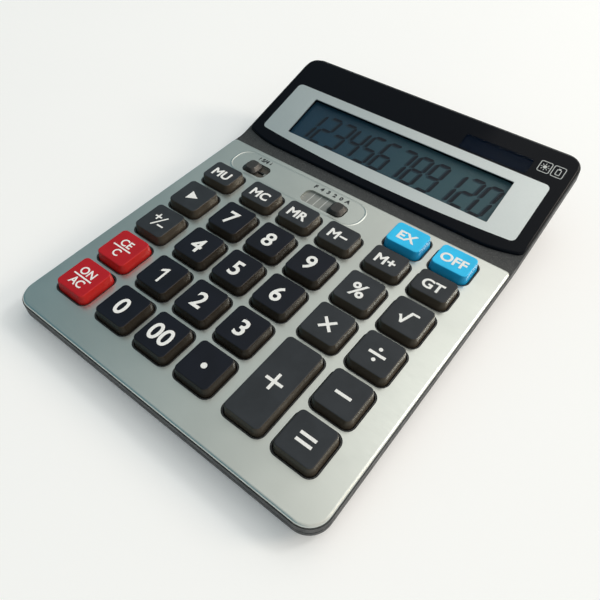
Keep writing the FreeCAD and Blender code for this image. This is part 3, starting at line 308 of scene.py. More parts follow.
@dataclass(frozen=True)
class Finish:
    """A surface's colour, and its shine, which varies a little over it."""

    name: str
    colour: Colour
    roughness: float
    shine_patch: float = 3.0 * MM
    shine_spread: float = 0.08

    def shine(self, sheet: ShaderSheet) -> Socket:
        """Vary the shine in small patches."""
        return sheet.around(sheet.noise(self.shine_patch), self.roughness, self.shine_spread)

    def dulled(self, sheet: ShaderSheet, pattern: Socket, reach: Range, rise: float) -> Socket:
        """Let a pattern dull the shine.

        Args:
            sheet: Sheet to add to.
            pattern: The pattern.
            reach: Its values that give no dulling and the whole of it.
            rise: How much rougher it makes the surface.

        Returns:
            The roughness.
        """
        return sheet.part_of(pattern, reach, (self.roughness, self.roughness + rise))

    def dress(self, sheet: ShaderSheet) -> None:
        """Lay the finish's patterns on a sheet; each kind of finish has its own."""
        raise NotImplementedError

    def material(self) -> bpy.types.Material:
        """Give the finish's material, made once."""
        if self.name not in MADE:
            sheet = ShaderSheet(f"{self.name}.finish")
            self.dress(sheet)
            MADE[self.name] = sheet.material
        return MADE[self.name]


@dataclass(frozen=True)
class MouldedPlastic(Finish):
    """Moulded plastic with a fine grain from its tool, and faint unevenness in colour and shine."""

    grain: float = 0.35 * MM
    grain_layers: float = ONE_LAYER
    grain_depth: float = 0.012 * MM
    patch: float = 9.0 * MM
    patch_layers: float = 3.0
    mottle: float = 0.12
    specular: float = 0.5

    def tone(self, sheet: ShaderSheet, grain: Socket) -> Socket:
        """Mottle the colour in soft patches, which the plain grain doesn't change."""
        return sheet.two_tone(sheet.noise(self.patch, self.patch_layers), self.colour, self.mottle)

    def dress(self, sheet: ShaderSheet) -> None:
        """Lay the grain, the colour and the shine."""
        grain = sheet.noise(self.grain, self.grain_layers)
        sheet.colour(self.tone(sheet, grain))
        sheet.roughness(self.shine(sheet))
        sheet.set(Specular_IOR_Level=self.specular)
        sheet.bump(grain, self.grain_depth)


@dataclass(frozen=True)
class KeyPlastic(MouldedPlastic):
    """Key plastic: a fine matt grain on top, and smoother walls, whose colour is a painted sheen: warmer or
    darker to stand in for how light falls on them.
    """

    grain: float = 0.28 * MM
    grain_depth: float = 0.008 * MM
    specular: float = 0.22
    # Colour of the walls: painted sheen, not the plastic's own colour.
    wall: Colour = (0.03, 0.03, 0.03)
    wall_roughness: float = 0.26
    upright: float = 0.92
    sideways: float = 0.45

    def walls(self, sheet: ShaderSheet) -> Socket:
        """Tell the walls, 1, from the top, 0, by how far the surface leans."""
        surface = sheet.tree.nodes.new("ShaderNodeNewGeometry")
        return sheet.part_of(sheet.split(surface.outputs["Normal"], "Z"), (self.upright, self.sideways))

    def tone(self, sheet: ShaderSheet, grain: Socket) -> Socket:
        """Change from the top's mottling to the walls' painted sheen round the edge."""
        return sheet.blend(self.walls(sheet), super().tone(sheet, grain), self.wall)

    def shine(self, sheet: ShaderSheet) -> Socket:
        """Change from the top's shine to the walls' round the edge."""
        return sheet.part_of(self.walls(sheet), WHOLE, (self.roughness, self.wall_roughness))


@dataclass(frozen=True)
class SparkTexture(MouldedPlastic):
    """Plastic from a spark-eroded tool: a coarse matt grain with painted glints: a paler colour on its tips
    that stands in for highlights.
    """

    grain_layers: float = TWO_LAYERS
    shine_patch: float = 4.0 * MM
    glint: Colour = (0.4, 0.4, 0.38)
    glint_share: float = 0.5
    glint_range: Range = (0.48, 0.72)

    def tone(self, sheet: ShaderSheet, grain: Socket) -> Socket:
        """Paint glints: make the grain's tips paler than its pits, a painted highlight."""
        painted_glint_tips = sheet.part_of(grain, self.glint_range, (0.0, self.glint_share))
        return sheet.blend(painted_glint_tips, self.colour, self.glint)


@dataclass(frozen=True)
class SatinMetal(Finish):
    """Thin metal with a satin brushed skin, its lines running from side to side."""

    line: float = 0.12 * MM
    line_length: float = 40.0
    line_depth: float = 0.0012 * MM
    shine_spread: float = 0.06
    cloud: float = 0.04
    cloud_size: float = 28.0 * MM

    def dress(self, sheet: ShaderSheet) -> None:
        """Lay brushed lines, faint clouds in the colour and handling marks in the shine."""
        lines = sheet.noise(self.line, place=sheet.stretched((1.0 / self.line_length, 1.0, 1.0)))
        sheet.colour(sheet.two_tone(sheet.noise(self.cloud_size), self.colour, self.cloud))
        sheet.roughness(sheet.around(lines, self.roughness, self.shine_spread))
        sheet.set(Metallic=1.0)
        sheet.bump(lines, self.line_depth)


@dataclass(frozen=True)
class GlossPanel(Finish):
    """Glossy moulded panel with faint wiping marks, fine specks and a slow waviness."""

    smear: float = 0.07
    smear_size: float = 14.0 * MM
    smear_layers: float = 4.0
    smear_stretch: Place = (0.4, 1.0, 1.0)
    smear_turn: float = math.radians(25.0)
    speck: float = 0.5 * MM
    speck_range: Range = (0.68, 0.8)
    speck_share: float = 0.5
    speck_shades: Range = (1.0, 3.0)
    wave: float = 20.0 * MM
    wave_depth: float = 0.004 * MM
    specular: float = 0.07

    def dress(self, sheet: ShaderSheet) -> None:
        """Lay wiping marks in the shine, specks in the colour and a slow wave in the surface."""
        wiped = sheet.stretched(self.smear_stretch, self.smear_turn)
        smears = sheet.noise(self.smear_size, self.smear_layers, wiped)
        sheet.roughness(self.dulled(sheet, smears, SMEAR_RANGE, self.smear))
        specks = sheet.part_of(sheet.noise(self.speck, ONE_LAYER), self.speck_range, (0.0, self.speck_share))
        sheet.colour(sheet.shaded(specks, self.colour, self.speck_shades))
        sheet.set(Specular_IOR_Level=self.specular)
        sheet.bump(sheet.noise(self.wave, ONE_LAYER), self.wave_depth)


@dataclass(frozen=True)
class ClearSheet(Finish):
    """Clear or tinted window that shows what lies behind it."""

    cover: float = 0.15
    smear: float = 0.08
    smear_size: float = 11.0 * MM
    smear_layers: float = 3.0
    specular: float = 0.05

    def dress(self, sheet: ShaderSheet) -> None:
        """Let most of what is behind through, with faint wiping marks in the shine."""
        smears = sheet.noise(self.smear_size, self.smear_layers)
        sheet.roughness(self.dulled(sheet, smears, SMEAR_RANGE, self.smear))
        sheet.set(Base_Color=(*self.colour, 1.0), Alpha=self.cover, Specular_IOR_Level=self.specular)


@dataclass(frozen=True)
class CrystalGlass(Finish):
    """Back of a liquid crystal display: a polariser whose tint drifts from one end to the other, partly its
    own tint and partly a painted reflection that makes it lighter towards the right.
    """

    far_colour: Colour = (0.1, 0.1, 0.1)
    half_length: float = 58.0 * MM
    shine_patch: float = 1.2 * MM
    shine_spread: float = 0.05
    grain: float = 0.2 * MM
    grain_depth: float = 0.002 * MM

    def dress(self, sheet: ShaderSheet) -> None:
        """Lay the drift of tint along the glass, partly painted reflection, and the polariser's faint grain.
        """
        drift = sheet.part_of(sheet.split(sheet.place, "X"), (-self.half_length, self.half_length))
        sheet.colour(sheet.blend(drift, self.colour, self.far_colour))
        sheet.roughness(self.shine(sheet))
        sheet.bump(sheet.noise(self.grain, ONE_LAYER), self.grain_depth)


@dataclass(frozen=True)
class SolarFilm(Finish):
    """Thin-film solar cell: dark strips side by side with fine paler lines between them."""

    line_colour: Colour = (0.1, 0.1, 0.1)
    strip: float = 8.5 * MM
    line_width: float = 0.35 * MM
    shine_patch: float = 2.0 * MM
    shine_spread: float = 0.05

    def dress(self, sheet: ShaderSheet) -> None:
        """Lay the strips and the lines between them."""
        fold = sheet.combine("PINGPONG", sheet.split(sheet.place, "X"), self.strip / 2.0)
        line = sheet.part_of(fold, (0.0, self.line_width), (1.0, 0.0))
        sheet.colour(sheet.blend(line, self.colour, self.line_colour))
        sheet.roughness(self.shine(sheet))


@dataclass(frozen=True)
class Ink(Finish):
    """Screen-printed or laser-filled ink, a little uneven in cover and shine."""

    wear: float = 0.08
    cover: float = 0.6 * MM
    cover_layers: float = 3.0
    cover_range: Range = (0.35, 0.7)
    cover_depth: float = 0.003 * MM
    shine_patch: float = 1.5 * MM

    def dress(self, sheet: ShaderSheet) -> None:
        """Lay the unevenness of the print."""
        cover = sheet.noise(self.cover, self.cover_layers)
        full = sheet.part_of(cover, self.cover_range)
        sheet.colour(sheet.shaded(full, self.colour, (1.0 - self.wear, 1.0)))
        sheet.roughness(self.shine(sheet))
        sheet.bump(cover, self.cover_depth)


@dataclass(frozen=True)
class CircuitLaminate(Finish):
    """Glass-fibre laminate under a coloured mask, with its weave showing faintly."""

    weave: float = 0.9 * MM
    weave_range: Range = (0.15, 0.4)
    weave_depth: float = 0.01 * MM
    thread: float = 0.08
    thread_shades: Range = (0.75, 1.3)
    shine_rise: float = 0.12

    def dress(self, sheet: ShaderSheet) -> None:
        """Lay two crossed sets of threads under the mask."""
        across = sheet.noise(self.weave, ONE_LAYER, sheet.stretched((1.0, self.thread, 1.0)))
        along = sheet.noise(self.weave, ONE_LAYER, sheet.stretched((self.thread, 1.0, 1.0)))
        weave = sheet.combine("MULTIPLY", across, along)
        crowns = sheet.part_of(weave, self.weave_range)
        sheet.colour(sheet.shaded(crowns, self.colour, self.thread_shades))
        sheet.roughness(self.dulled(sheet, weave, self.weave_range, self.shine_rise))
        sheet.bump(weave, self.weave_depth)


# Finishes of the modelled pieces, each named as its slot in the record
PIECE_FINISHES: tuple[Finish, ...] = (
    # Case plastic: its paler grain tips are painted glints.
    SparkTexture(
        "case_plastic", from_screen(34, 37, 40), 0.5, grain=0.42 * MM, grain_depth=0.03 * MM,
        glint=from_screen(94, 96, 95), glint_share=0.6),
    SatinMetal("silver_plate", from_screen(205, 210, 206), 0.34),
    GlossPanel("black_acrylic", from_screen(9, 13, 20), 0.1),
    SatinMetal("silver_frame", from_screen(204, 211, 212), 0.46, line=0.2 * MM, line_length=6.0, cloud=0.02),
    ClearSheet("clear_lens", from_screen(20, 30, 36), 0.06, cover=0.16),
    ClearSheet("tinted_lens", from_screen(12, 22, 38), 0.08, cover=0.55),
    SolarFilm("solar_film", from_screen(30, 62, 90), 0.27, line_colour=from_screen(70, 84, 98)),
    # Display glass: lighter towards the right end, partly its own tint and partly painted reflection.
    CrystalGlass("display_glass", from_screen(34, 74, 100), 0.35, far_colour=from_screen(82, 120, 130)),
    MouldedPlastic("inner_plastic", from_screen(52, 54, 56), 0.5),
    MouldedPlastic("silicone", from_screen(150, 154, 156), 0.62, grain=0.8 * MM, mottle=0.06, specular=0.3),
    CircuitLaminate("circuit_board", from_screen(44, 96, 60), 0.35),
    MouldedPlastic("chip_resin", from_screen(22, 22, 24), 0.4, grain=0.2 * MM),
    MouldedPlastic("ribbon_film", from_screen(196, 196, 190), 0.4, grain=1.2 * MM, mottle=0.06),
    MouldedPlastic("wire_sleeve", from_screen(150, 36, 36), 0.4, mottle=0.08),
    SatinMetal("cell_steel", from_screen(196, 197, 198), 0.28, line=0.3 * MM, line_length=3.0),
    SatinMetal("spring_metal", from_screen(206, 196, 168), 0.3),
    SatinMetal("screw_steel", from_screen(150, 152, 156), 0.32, line=0.2 * MM, line_length=4.0),
    MouldedPlastic(
        "foot_rubber", from_screen(38, 38, 39), 0.8, grain=0.6 * MM, grain_depth=0.03 * MM, specular=0.25),
    MouldedPlastic("pale_plastic", from_screen(132, 136, 134), 0.5, mottle=0.08),
    # Knob plastic: its paler grain tips are painted glints.
    SparkTexture(
        "knob_plastic", from_screen(38, 38, 38), 0.46, grain=0.4 * MM, grain_depth=0.02 * MM,
        glint=from_screen(82, 80, 77), glint_share=0.5),
    # Keys: the walls' colours are painted sheen and shade, standing in for warm light reflected off their
    # sides.
    KeyPlastic("key_black", from_screen(15, 19, 30), 0.4, wall=from_screen(47, 42, 36)),
    KeyPlastic("key_grey", from_screen(46, 50, 55), 0.42, wall=from_screen(66, 60, 52)),
    KeyPlastic("key_red", from_screen(176, 26, 36), 0.42, mottle=0.06, wall=from_screen(184, 38, 36)),
    KeyPlastic("key_blue", from_screen(48, 194, 246), 0.42, mottle=0.06, wall=from_screen(34, 160, 216)),
)
SLOT_FINISHES: dict[str, Finish] = {finish.name: finish for finish in PIECE_FINISHES}

# Finishes of the marks
WHITE_INK = Ink("white_ink", from_screen(243, 244, 244), 0.5)
DARK_INK = Ink("dark_ink", from_screen(32, 37, 42), 0.5)
PALE_INK = Ink("pale_ink", from_screen(205, 208, 208), 0.5)
BROWN_INK = Ink("brown_ink", from_screen(66, 63, 57), 0.55)
SEGMENT_INK = Ink("segment_ink", from_screen(12, 24, 42), 0.4, wear=0.05)
# Painted shadow: colour of the display figures' offset dark copies.
PAINTED_SHADOW_INK = Ink("painted_shadow_ink", from_screen(44, 70, 86), 0.45, wear=0.05)


def corners_of(points: Iterable[Vector]) -> tuple[Vector, Vector]:
    """Find the box round some points.

    Args:
        points: The points.

    Returns:
        Its lowest and highest corners.
    """
    found = list(points)
    low = Vector([min(point[axis] for point in found) for axis in range(3)])
    high = Vector([max(point[axis] for point in found) for axis in range(3)])
    return low, high


def extent(node: str, plane: Matrix) -> tuple[Vector, Vector]:
    """Measure a modelled piece along the axes of a plane.

    Args:
        node: The piece's node.
        plane: The plane's place in the part's frame.

    Returns:
        Its lowest and highest corners in the plane's own axes.
    """
    inward = plane.inverted()
    return corners_of(inward @ vert.co for vert in frame["nodes"][node].data.vertices)


def pull_up(mesh: bmesh.types.BMesh, faces: list[bmesh.types.BMFace],
            height: float) -> set[bmesh.types.BMVert]:
    """Pull flat faces up into closed plates.

    Args:
        mesh: The mesh that they are in.
        faces: The faces.
        height: How far they go up.

    Returns:
        The points that went up.
    """
    grown = bmesh.ops.extrude_face_region(mesh, geom=faces, use_keep_orig=True)
    raised = [item for item in grown["geom"] if isinstance(item, bmesh.types.BMVert)]
    bmesh.ops.translate(mesh, verts=raised, vec=(0.0, 0.0, height))
    return set(raised)


class Outline:
    """Flat shapes for marks, added to one bmesh as thin plates that lie on the plane z = 0."""

    def __init__(self) -> None:
        """Start with no shapes."""
        self.mesh = bmesh.new()

    def plate(self, points: list[Point], thickness: float = PRINT_THICKNESS) -> None:
        """Add a plate from the corners of its outline.

        Args:
            points: Corners in order, in metres.
            thickness: Height of the plate.
        """
        corners = [self.mesh.verts.new((x, y, 0.0)) for x, y in points]
        pull_up(self.mesh, [self.mesh.faces.new(corners)], thickness)

    def bar(self, centre: Point, length: float, width: float, turn: float = 0.0,
            thickness: float = PRINT_THICKNESS) -> None:
        """Add a straight bar.

        Args:
            centre: Middle of the bar.
            length: Its length.
            width: Its width.
            turn: Turn from the X axis in degrees.
            thickness: Height of the bar.
        """
        turned = Matrix.Rotation(math.radians(turn), 2)
        points = []
        for along, across in ((-1, -1), (1, -1), (1, 1), (-1, 1)):
            corner = turned @ Vector((along * length / 2, across * width / 2))
            points.append((centre[0] + corner.x, centre[1] + corner.y))
        self.plate(points, thickness)

    def disc(self, centre: Point, radius: float) -> None:
        """Add a round dot.

        Args:
            centre: Middle of the dot.
            radius: Its radius.
        """
        made = bmesh.ops.create_circle(
            self.mesh, cap_ends=True, segments=ROUND_STEPS, radius=radius,
            matrix=Matrix.Translation((centre[0], centre[1], 0.0)))
        pull_up(self.mesh, [made["verts"][0].link_faces[0]], PRINT_THICKNESS)

    def ring(self, centre: Point, size: Point, corner: float, width: float,
             height: float = PRINT_THICKNESS, crest: float = 0.0) -> None:
        """Add a rounded rectangular ring, flat or with a raised crest.

        Args:
            centre: Middle of the ring.
            size: Outer size.
            corner: Outer corner radius.
            width: Width of the ring's line.
            height: Height of its outer and inner edges.
            crest: How much higher its middle line stands.
        """
        mesh = bmesh.new()
        bmesh.ops.create_grid(mesh, x_segments=1, y_segments=1, size=0.5)
        bmesh.ops.scale(mesh, vec=(size[0], size[1], 1.0), verts=mesh.verts)
        bmesh.ops.bevel(
            mesh, geom=list(mesh.verts), offset=corner, segments=CORNER_STEPS, profile=ROUND_PROFILE,
            affect="VERTICES", material=-1)
        rise = [crest, -crest] if crest else [0.0]
        for step in rise:
            middle = max(mesh.faces, key=lambda face: face.calc_area())
            bmesh.ops.inset_region(
                mesh, faces=[middle], thickness=width / len(rise), depth=step, use_boundary=True,
                use_even_offset=True)
        middle = max(mesh.faces, key=lambda face: face.calc_area())
        bmesh.ops.delete(mesh, geom=[middle], context="FACES_ONLY")
        raised = pull_up(mesh, list(mesh.faces), height)
        for vert in set(mesh.verts) - raised:
            vert.co.z = 0.0
        bmesh.ops.translate(mesh, verts=mesh.verts, vec=(centre[0], centre[1], 0.0))
        self.join(mesh)

    def text(self, words: str, centre: Point, height: float, weight: float) -> None:
        """Add lettering, fitted to a height and set on its middle.

        Args:
            words: The letters or figures.
            centre: Middle of the lettering.
            height: Height of its tallest letter.
            weight: How far the strokes are thickened, as a share of the font's size.
        """
        curve = bpy.data.curves.new("lettering", "FONT")
        curve.body = words
        curve.bevel_depth = weight
        curve.bevel_resolution = LETTER_EDGE_STEPS
        curve.resolution_u = LETTER_STEPS
        holder = bpy.data.objects.new("lettering", curve)
        bpy.context.scene.collection.objects.link(holder)
        graph = bpy.context.evaluated_depsgraph_get()
        made = bpy.data.meshes.new_from_object(holder.evaluated_get(graph))
        bpy.data.objects.remove(holder)
        bpy.data.curves.remove(curve)
        mesh = bmesh.new()
        mesh.from_mesh(made)
        bpy.data.meshes.remove(made)
        bmesh.ops.remove_doubles(mesh, verts=mesh.verts, dist=LETTER_MERGE)
        low, high = corners_of(vert.co for vert in mesh.verts)
        middle = (low + high) / 2
        grow = height / (high.y - low.y)
        bmesh.ops.translate(mesh, verts=mesh.verts, vec=(-middle.x, -middle.y, -low.z))
        bmesh.ops.scale(mesh, verts=mesh.verts, vec=(grow, grow, PRINT_THICKNESS / (high.z - low.z)))
        bmesh.ops.translate(mesh, verts=mesh.verts, vec=(centre[0], centre[1], 0.0))
        self.join(mesh)

    def join(self, other: bmesh.types.BMesh) -> None:
        """Take another bmesh's faces into this one and free it."""
        passing = bpy.data.meshes.new("passing")
        other.to_mesh(passing)
        other.free()
        self.mesh.from_mesh(passing)
        bpy.data.meshes.remove(passing)


def make_piece(name: str, outline: Outline, place: Matrix, body: str, finish: Finish) -> bpy.types.Object:
    """Turn an outline into a piece that rides on a body.

    Args:
        name: The piece's name.
        outline: Its shapes, on their own plane.
        place: Where that plane lies in the part's frame.
        body: Body that carries the piece.
        finish: Its finish.

    Returns:
        The piece, at the origin with its place in its mesh.
    """
    bmesh.ops.recalc_face_normals(outline.mesh, faces=outline.mesh.faces)
    bmesh.ops.transform(outline.mesh, matrix=place, verts=outline.mesh.verts)
    data = bpy.data.meshes.new(name)
    outline.mesh.to_mesh(data)
    outline.mesh.free()
    data.materials.append(finish.material())
    piece = bpy.data.objects.new(name, data)
    bpy.context.scene.collection.objects.link(piece)
    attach(piece, body)
    LOG.info("%s on %s, %d faces", name, body, len(data.polygons))
    return piece


def lifted(plane: Matrix, level: float) -> Matrix:
    """Give a plane that lies above another one."""
    return plane @ Matrix.Translation((0.0, 0.0, level))


class Symbol(Enum):
    """Signs that are drawn from bars, dots and outlines, not set in letters."""

    PLUS = "plus"
    MINUS = "minus"
    TIMES = "times"
    DIVIDE = "divide"
    EQUALS = "equals"
    ROOT = "root"
    BACK = "back"
    POINT = "point"
    SIGN = "sign"
    ONE = "one"


@dataclass(frozen=True)
class Stroke:
    """A sign's bar: shares of the sign's span, with its width a share of the full stroke."""

    length: float
    across: float = 0.0
    up: float = 0.0
    width: float = 1.0
    turn: float = 0.0


@dataclass(frozen=True)
class Dot:
    """A sign's dot: its height as a share of the span and its radius as a share of the stroke."""

    up: float = 0.0
    radius: float = 1.0


# What the signs are drawn from: crosses, bars, dots, and an arrow's corners as shares of the span
SIGN_CROSSES: dict[Symbol, Stroke] = {
    Symbol.PLUS: Stroke(0.92),
    Symbol.TIMES: Stroke(0.92, turn=45.0),
    Symbol.SIGN: Stroke(0.46, across=-0.29, up=0.24, width=0.65),
}
SIGN_BARS: dict[Symbol, tuple[Stroke, ...]] = {
    Symbol.MINUS: (Stroke(0.82),),
    Symbol.DIVIDE: (Stroke(0.86),),
    Symbol.EQUALS: (Stroke(0.81, up=-0.175), Stroke(0.81, up=0.175)),
    Symbol.SIGN: (Stroke(1.02, width=0.6, turn=58.0), Stroke(0.42, across=0.3, up=-0.26, width=0.65)),
}
SIGN_DOTS: dict[Symbol, tuple[Dot, ...]] = {
    Symbol.DIVIDE: (Dot(-0.32, 0.65), Dot(0.32, 0.65)),
    Symbol.POINT: (Dot(),),
}
ARROW: tuple[Point, ...] = ((-0.28, -0.34), (0.36, 0.0), (-0.28, 0.34))


@dataclass(frozen=True)
class Legend:
    """What one key shows: a sign, a word, or two words with a bar between them."""

    words: tuple[str, ...] = ()
    symbol: Optional[Symbol] = None
    height: float = 5.3 * MM
    weight: float = 0.032


@dataclass
class KeyLegends:
    """White legends on the tops of the keys, each riding on its own key."""

    figure_height: float = 8.1 * MM
    figure_weight: float = 0.022
    percent_height: float = 7.6 * MM
    stack_height: float = 4.0 * MM
    stack_gap: float = 1.0 * MM
    stack_bar: Point = (10.4 * MM, 0.6875 * MM)
    stroke: float = 1.25 * MM
    sign_span: float = 8.2 * MM
    word_offset: Point = (-0.15 * MM, -0.6 * MM)
    sign_offset: Point = (0.3 * MM, -0.55 * MM)

    def legends(self) -> dict[str, Legend]:
        """List every key's legend by the key's name.

        Returns:
            The legends.
        """
        figures = {f"key_{digit}": (str(digit),) for digit in range(10)}
        figures["key_00"] = ("00",)
        found = {name: Legend(figure, None, self.figure_height, self.figure_weight)
                 for name, figure in figures.items()}
        words = {
            "key_mark_up": "MU", "key_memory_clear": "MC", "key_memory_recall": "MR",
            "key_memory_minus": "M−", "key_memory_plus": "M+", "key_grand_total": "GT",
            "key_exchange": "EX", "key_off": "OFF",
        }
        found.update({name: Legend((word,)) for name, word in words.items()})
        found["key_percent"] = Legend(("%",), None, self.percent_height, self.figure_weight)
        stacks = {"key_on_ac": ("ON", "AC"), "key_clear_entry": ("CE", "C")}
        found.update({name: Legend(stack, None, self.stack_height, self.figure_weight)
                      for name, stack in stacks.items()})
        signs = {
            "key_plus": Symbol.PLUS, "key_minus": Symbol.MINUS, "key_multiply": Symbol.TIMES,
            "key_divide": Symbol.DIVIDE, "key_equals": Symbol.EQUALS, "key_square_root": Symbol.ROOT,
            "key_backspace": Symbol.BACK, "key_point": Symbol.POINT, "key_sign_change": Symbol.SIGN,
            "key_1": Symbol.ONE,
        }
        found.update({name: Legend(symbol=sign) for name, sign in signs.items()})
        return found

    def draw_sign(self, sheet: Outline, sign: Symbol) -> None:
        """Draw one sign about the middle of a key.

        Args:
            sheet: Outline to draw on.
            sign: The sign.
        """
        span = self.sign_span
        if sign in SIGN_CROSSES:
            self.cross(sheet, SIGN_CROSSES[sign])
        for bar in SIGN_BARS.get(sign, ()):
            middle = (bar.across * span, bar.up * span)
            sheet.bar(middle, bar.length * span, bar.width * self.stroke, bar.turn)
        for dot in SIGN_DOTS.get(sign, ()):
            sheet.disc((0.0, dot.up * span), dot.radius * self.stroke)
        if sign is Symbol.BACK:
            sheet.plate([(across * span, up * span) for across, up in ARROW])
        elif sign is Symbol.ROOT:
            self.root(sheet)
        elif sign is Symbol.ONE:
            self.one(sheet)

    def cross(self, sheet: Outline, first: Stroke) -> None:
        """Draw two crossed strokes without an overlap.

        Args:
            sheet: Outline to draw on.
            first: The first stroke; the other one crosses its middle.
        """
        centre = (first.across * self.sign_span, first.up * self.sign_span)
        span = first.length * self.sign_span
        width = first.width * self.stroke
        sheet.bar(centre, span, width, first.turn)
        arm = (span - width) / 2
        angle = math.radians(first.turn + 90.0)
        for side in (-1, 1):
            away = side * (width + arm) / 2
            middle = (centre[0] + away * math.cos(angle), centre[1] + away * math.sin(angle))
            sheet.bar(middle, arm, width, first.turn + 90.0)

    def one(self, sheet: Outline) -> None:
        """Draw the figure one with its flag in one outline."""
        tall = self.figure_height / 2
        stem = 0.85 * self.stroke
        flag = -0.26 * self.figure_height
        sheet.plate([
            (0.0, -tall), (stem, -tall), (stem, tall), (0.2 * stem, tall),
            (flag, 0.62 * tall), (flag, 0.3 * tall), (0.0, 0.55 * tall),
        ])

    def root(self, sheet: Outline) -> None:
        """Draw the square root's tick and roof in one outline."""
        half = 0.45 * self.sign_span
        foot = 0.42 * self.sign_span
        thin = 0.8 * self.stroke
        sheet.plate([
            (-half, -0.05 * half), (-0.72 * half, 0.12 * half), (-0.38 * half, -0.52 * foot),
            (0.05 * half, foot), (half, foot), (half, foot - thin), (0.05 * half + thin, foot - thin),
            (-0.24 * half, -foot), (-0.5 * half, -foot), (-0.78 * half, -0.3 * half),
        ])

    def build(self) -> None:
        """Make every key's legend on its own key."""
        for name, legend in self.legends().items():
            low, high = extent(name, DECK)
            sheet = Outline()
            if legend.symbol is not None:
                self.draw_sign(sheet, legend.symbol)
            elif len(legend.words) == 2:
                step = self.stack_gap + legend.height / 2
                sheet.text(legend.words[0], (0.0, step), legend.height, legend.weight)
                sheet.bar((0.0, 0.0), *self.stack_bar)
                sheet.text(legend.words[1], (0.0, -step), legend.height, legend.weight)
            else:
                sheet.text(legend.words[0], (0.0, 0.0), legend.height, legend.weight)
            middle = (low + high) / 2
            across, along = self.sign_offset if legend.symbol else self.word_offset
            top = Vector((middle.x + across, middle.y + along, high.z + PRINT_LIFT))
            make_piece(f"{name}.legend", sheet, DECK @ Matrix.Translation(top), name, WHITE_INK)


@dataclass
class DisplayFigures:
    """Twelve slanted seven-segment figures on the display glass, with painted shadows: offset dark copies
    that stand in for the shadows they cast.
    """

    digits: str = "123456789120"
    first: float = -53.5 * MM
    pitch: float = 9.0 * MM
    base: float = 22.6 * MM
    height: float = 17.6 * MM
    width: float = 6.2 * MM
    stroke: float = 1.55 * MM
    gap: float = 0.22 * MM
    slant: float = math.radians(9.0)
    cast: Vector = Vector((-0.9 * MM, -0.7 * MM, 0.0))

    LIT: ClassVar[dict[str, str]] = {
        "0": "abcdef", "1": "bc", "2": "abged", "3": "abgcd", "4": "fgbc",
        "5": "afgcd", "6": "afgedc", "7": "abc", "8": "abcdefg", "9": "abcdfg",
    }

    # Ends of the segments, in steps of a figure's width and of half its height
    SEGMENTS: ClassVar[dict[str, tuple[Point, Point]]] = {
        "a": ((0, 2), (1, 2)), "b": ((1, 1), (1, 2)), "c": ((1, 0), (1, 1)), "d": ((0, 0), (1, 0)),
        "e": ((0, 0), (0, 1)), "f": ((0, 1), (0, 2)), "g": ((0, 1), (1, 1)),
    }

    def segment(self, sheet: Outline, start: Point, end: Point) -> None:
        """Draw one segment as a bar with pointed ends.

        Args:
            sheet: Outline to draw on.
            start: One end.
            end: The other end.
        """
        first = Vector(start)
        last = Vector(end)
        along = (last - first).normalized()
        side = Vector((-along.y, along.x)) * self.stroke / 2
        first += along * self.gap
        last -= along * self.gap
        shoulder = along * self.stroke / 2
        points = [
            first, first + shoulder - side, last - shoulder - side,
            last, last - shoulder + side, first + shoulder + side,
        ]
        sheet.plate([(point.x, point.y) for point in points])

    def figure(self, sheet: Outline, digit: str, left: float) -> None:
        """Draw one figure.

        Args:
            sheet: Outline to draw on.
            digit: The figure.
            left: Its left side.
        """
        for name in self.LIT[digit]:
            ends = [(left + across * self.width, up * self.height / 2) for across, up in self.SEGMENTS[name]]
            self.segment(sheet, *ends)

    def build(self) -> None:
        """Make the figures, and their painted shadows as offset dark copies, just above the glass."""
        top = extent("lcd_glass", HEAD)[1].z + PRINT_LIFT
        lean = Matrix.Identity(4)
        lean[0][1] = math.tan(self.slant)
        # Painted shadows: an offset copy of the figures in a darker colour, under the figures themselves.
        layers = (
            ("display_painted_shadows", self.cast, 0.0, PAINTED_SHADOW_INK),
            ("display_figures", Vector(), PRINT_THICKNESS + PRINT_LIFT, SEGMENT_INK),
        )
        for name, shift, lift, finish in layers:
            sheet = Outline()
            for place, digit in enumerate(self.digits):
                self.figure(sheet, digit, self.first + place * self.pitch)
            spot = Matrix.Translation(Vector((0.0, self.base, top + lift)) + shift)
            make_piece(name, sheet, HEAD @ spot @ lean, CASE_BODY, finish)


@dataclass
class PanelMarks:
    """Two small outlined boxes on the panel with a sun and a cell in them: it runs on light or on a cell."""

    sun_centre: Point = (63.6 * MM, 59.5 * MM)
    cell_centre: Point = (69.9 * MM, 59.5 * MM)
    size: Point = (5.6 * MM, 6.6 * MM)
    corner: float = 1.0 * MM
    line: float = 0.35 * MM
    sun_radius: float = 0.9 * MM
    rays: int = 8
    ray_reach: float = 1.65 * MM
    ray: Point = (0.8 * MM, 0.3 * MM)
    cell: Point = (2.2 * MM, 3.4 * MM)
    cell_corner: float = 0.4 * MM
    cell_drop: float = 0.25 * MM
    nub: Point = (1.0 * MM, 0.5 * MM)
    nub_rise: float = 1.75 * MM

    def sun_box(self) -> Outline:
        """Draw the box with the sun."""
        sheet = Outline()
        across, up = self.sun_centre
        sheet.ring(self.sun_centre, self.size, self.corner, self.line)
        sheet.disc(self.sun_centre, self.sun_radius)
        for ray in range(self.rays):
            angle = 2 * math.pi * ray / self.rays
            middle = (across + self.ray_reach * math.cos(angle), up + self.ray_reach * math.sin(angle))
            sheet.bar(middle, *self.ray, math.degrees(angle))
        return sheet

    def cell_box(self) -> Outline:
        """Draw the box with the cell."""
        sheet = Outline()
        across, up = self.cell_centre
        sheet.ring(self.cell_centre, self.size, self.corner, self.line)
        sheet.ring((across, up - self.cell_drop), self.cell, self.cell_corner, self.line)
        sheet.bar((across, up + self.nub_rise), *self.nub)
        return sheet

    def build(self) -> None:
        """Make both boxes."""
        on_panel = lifted(HEAD, extent("display_panel", HEAD)[1].z + PRINT_LIFT)
        make_piece("mark_light", self.sun_box(), on_panel, CASE_BODY, PALE_INK)
        make_piece("mark_cell", self.cell_box(), on_panel, CASE_BODY, PALE_INK)


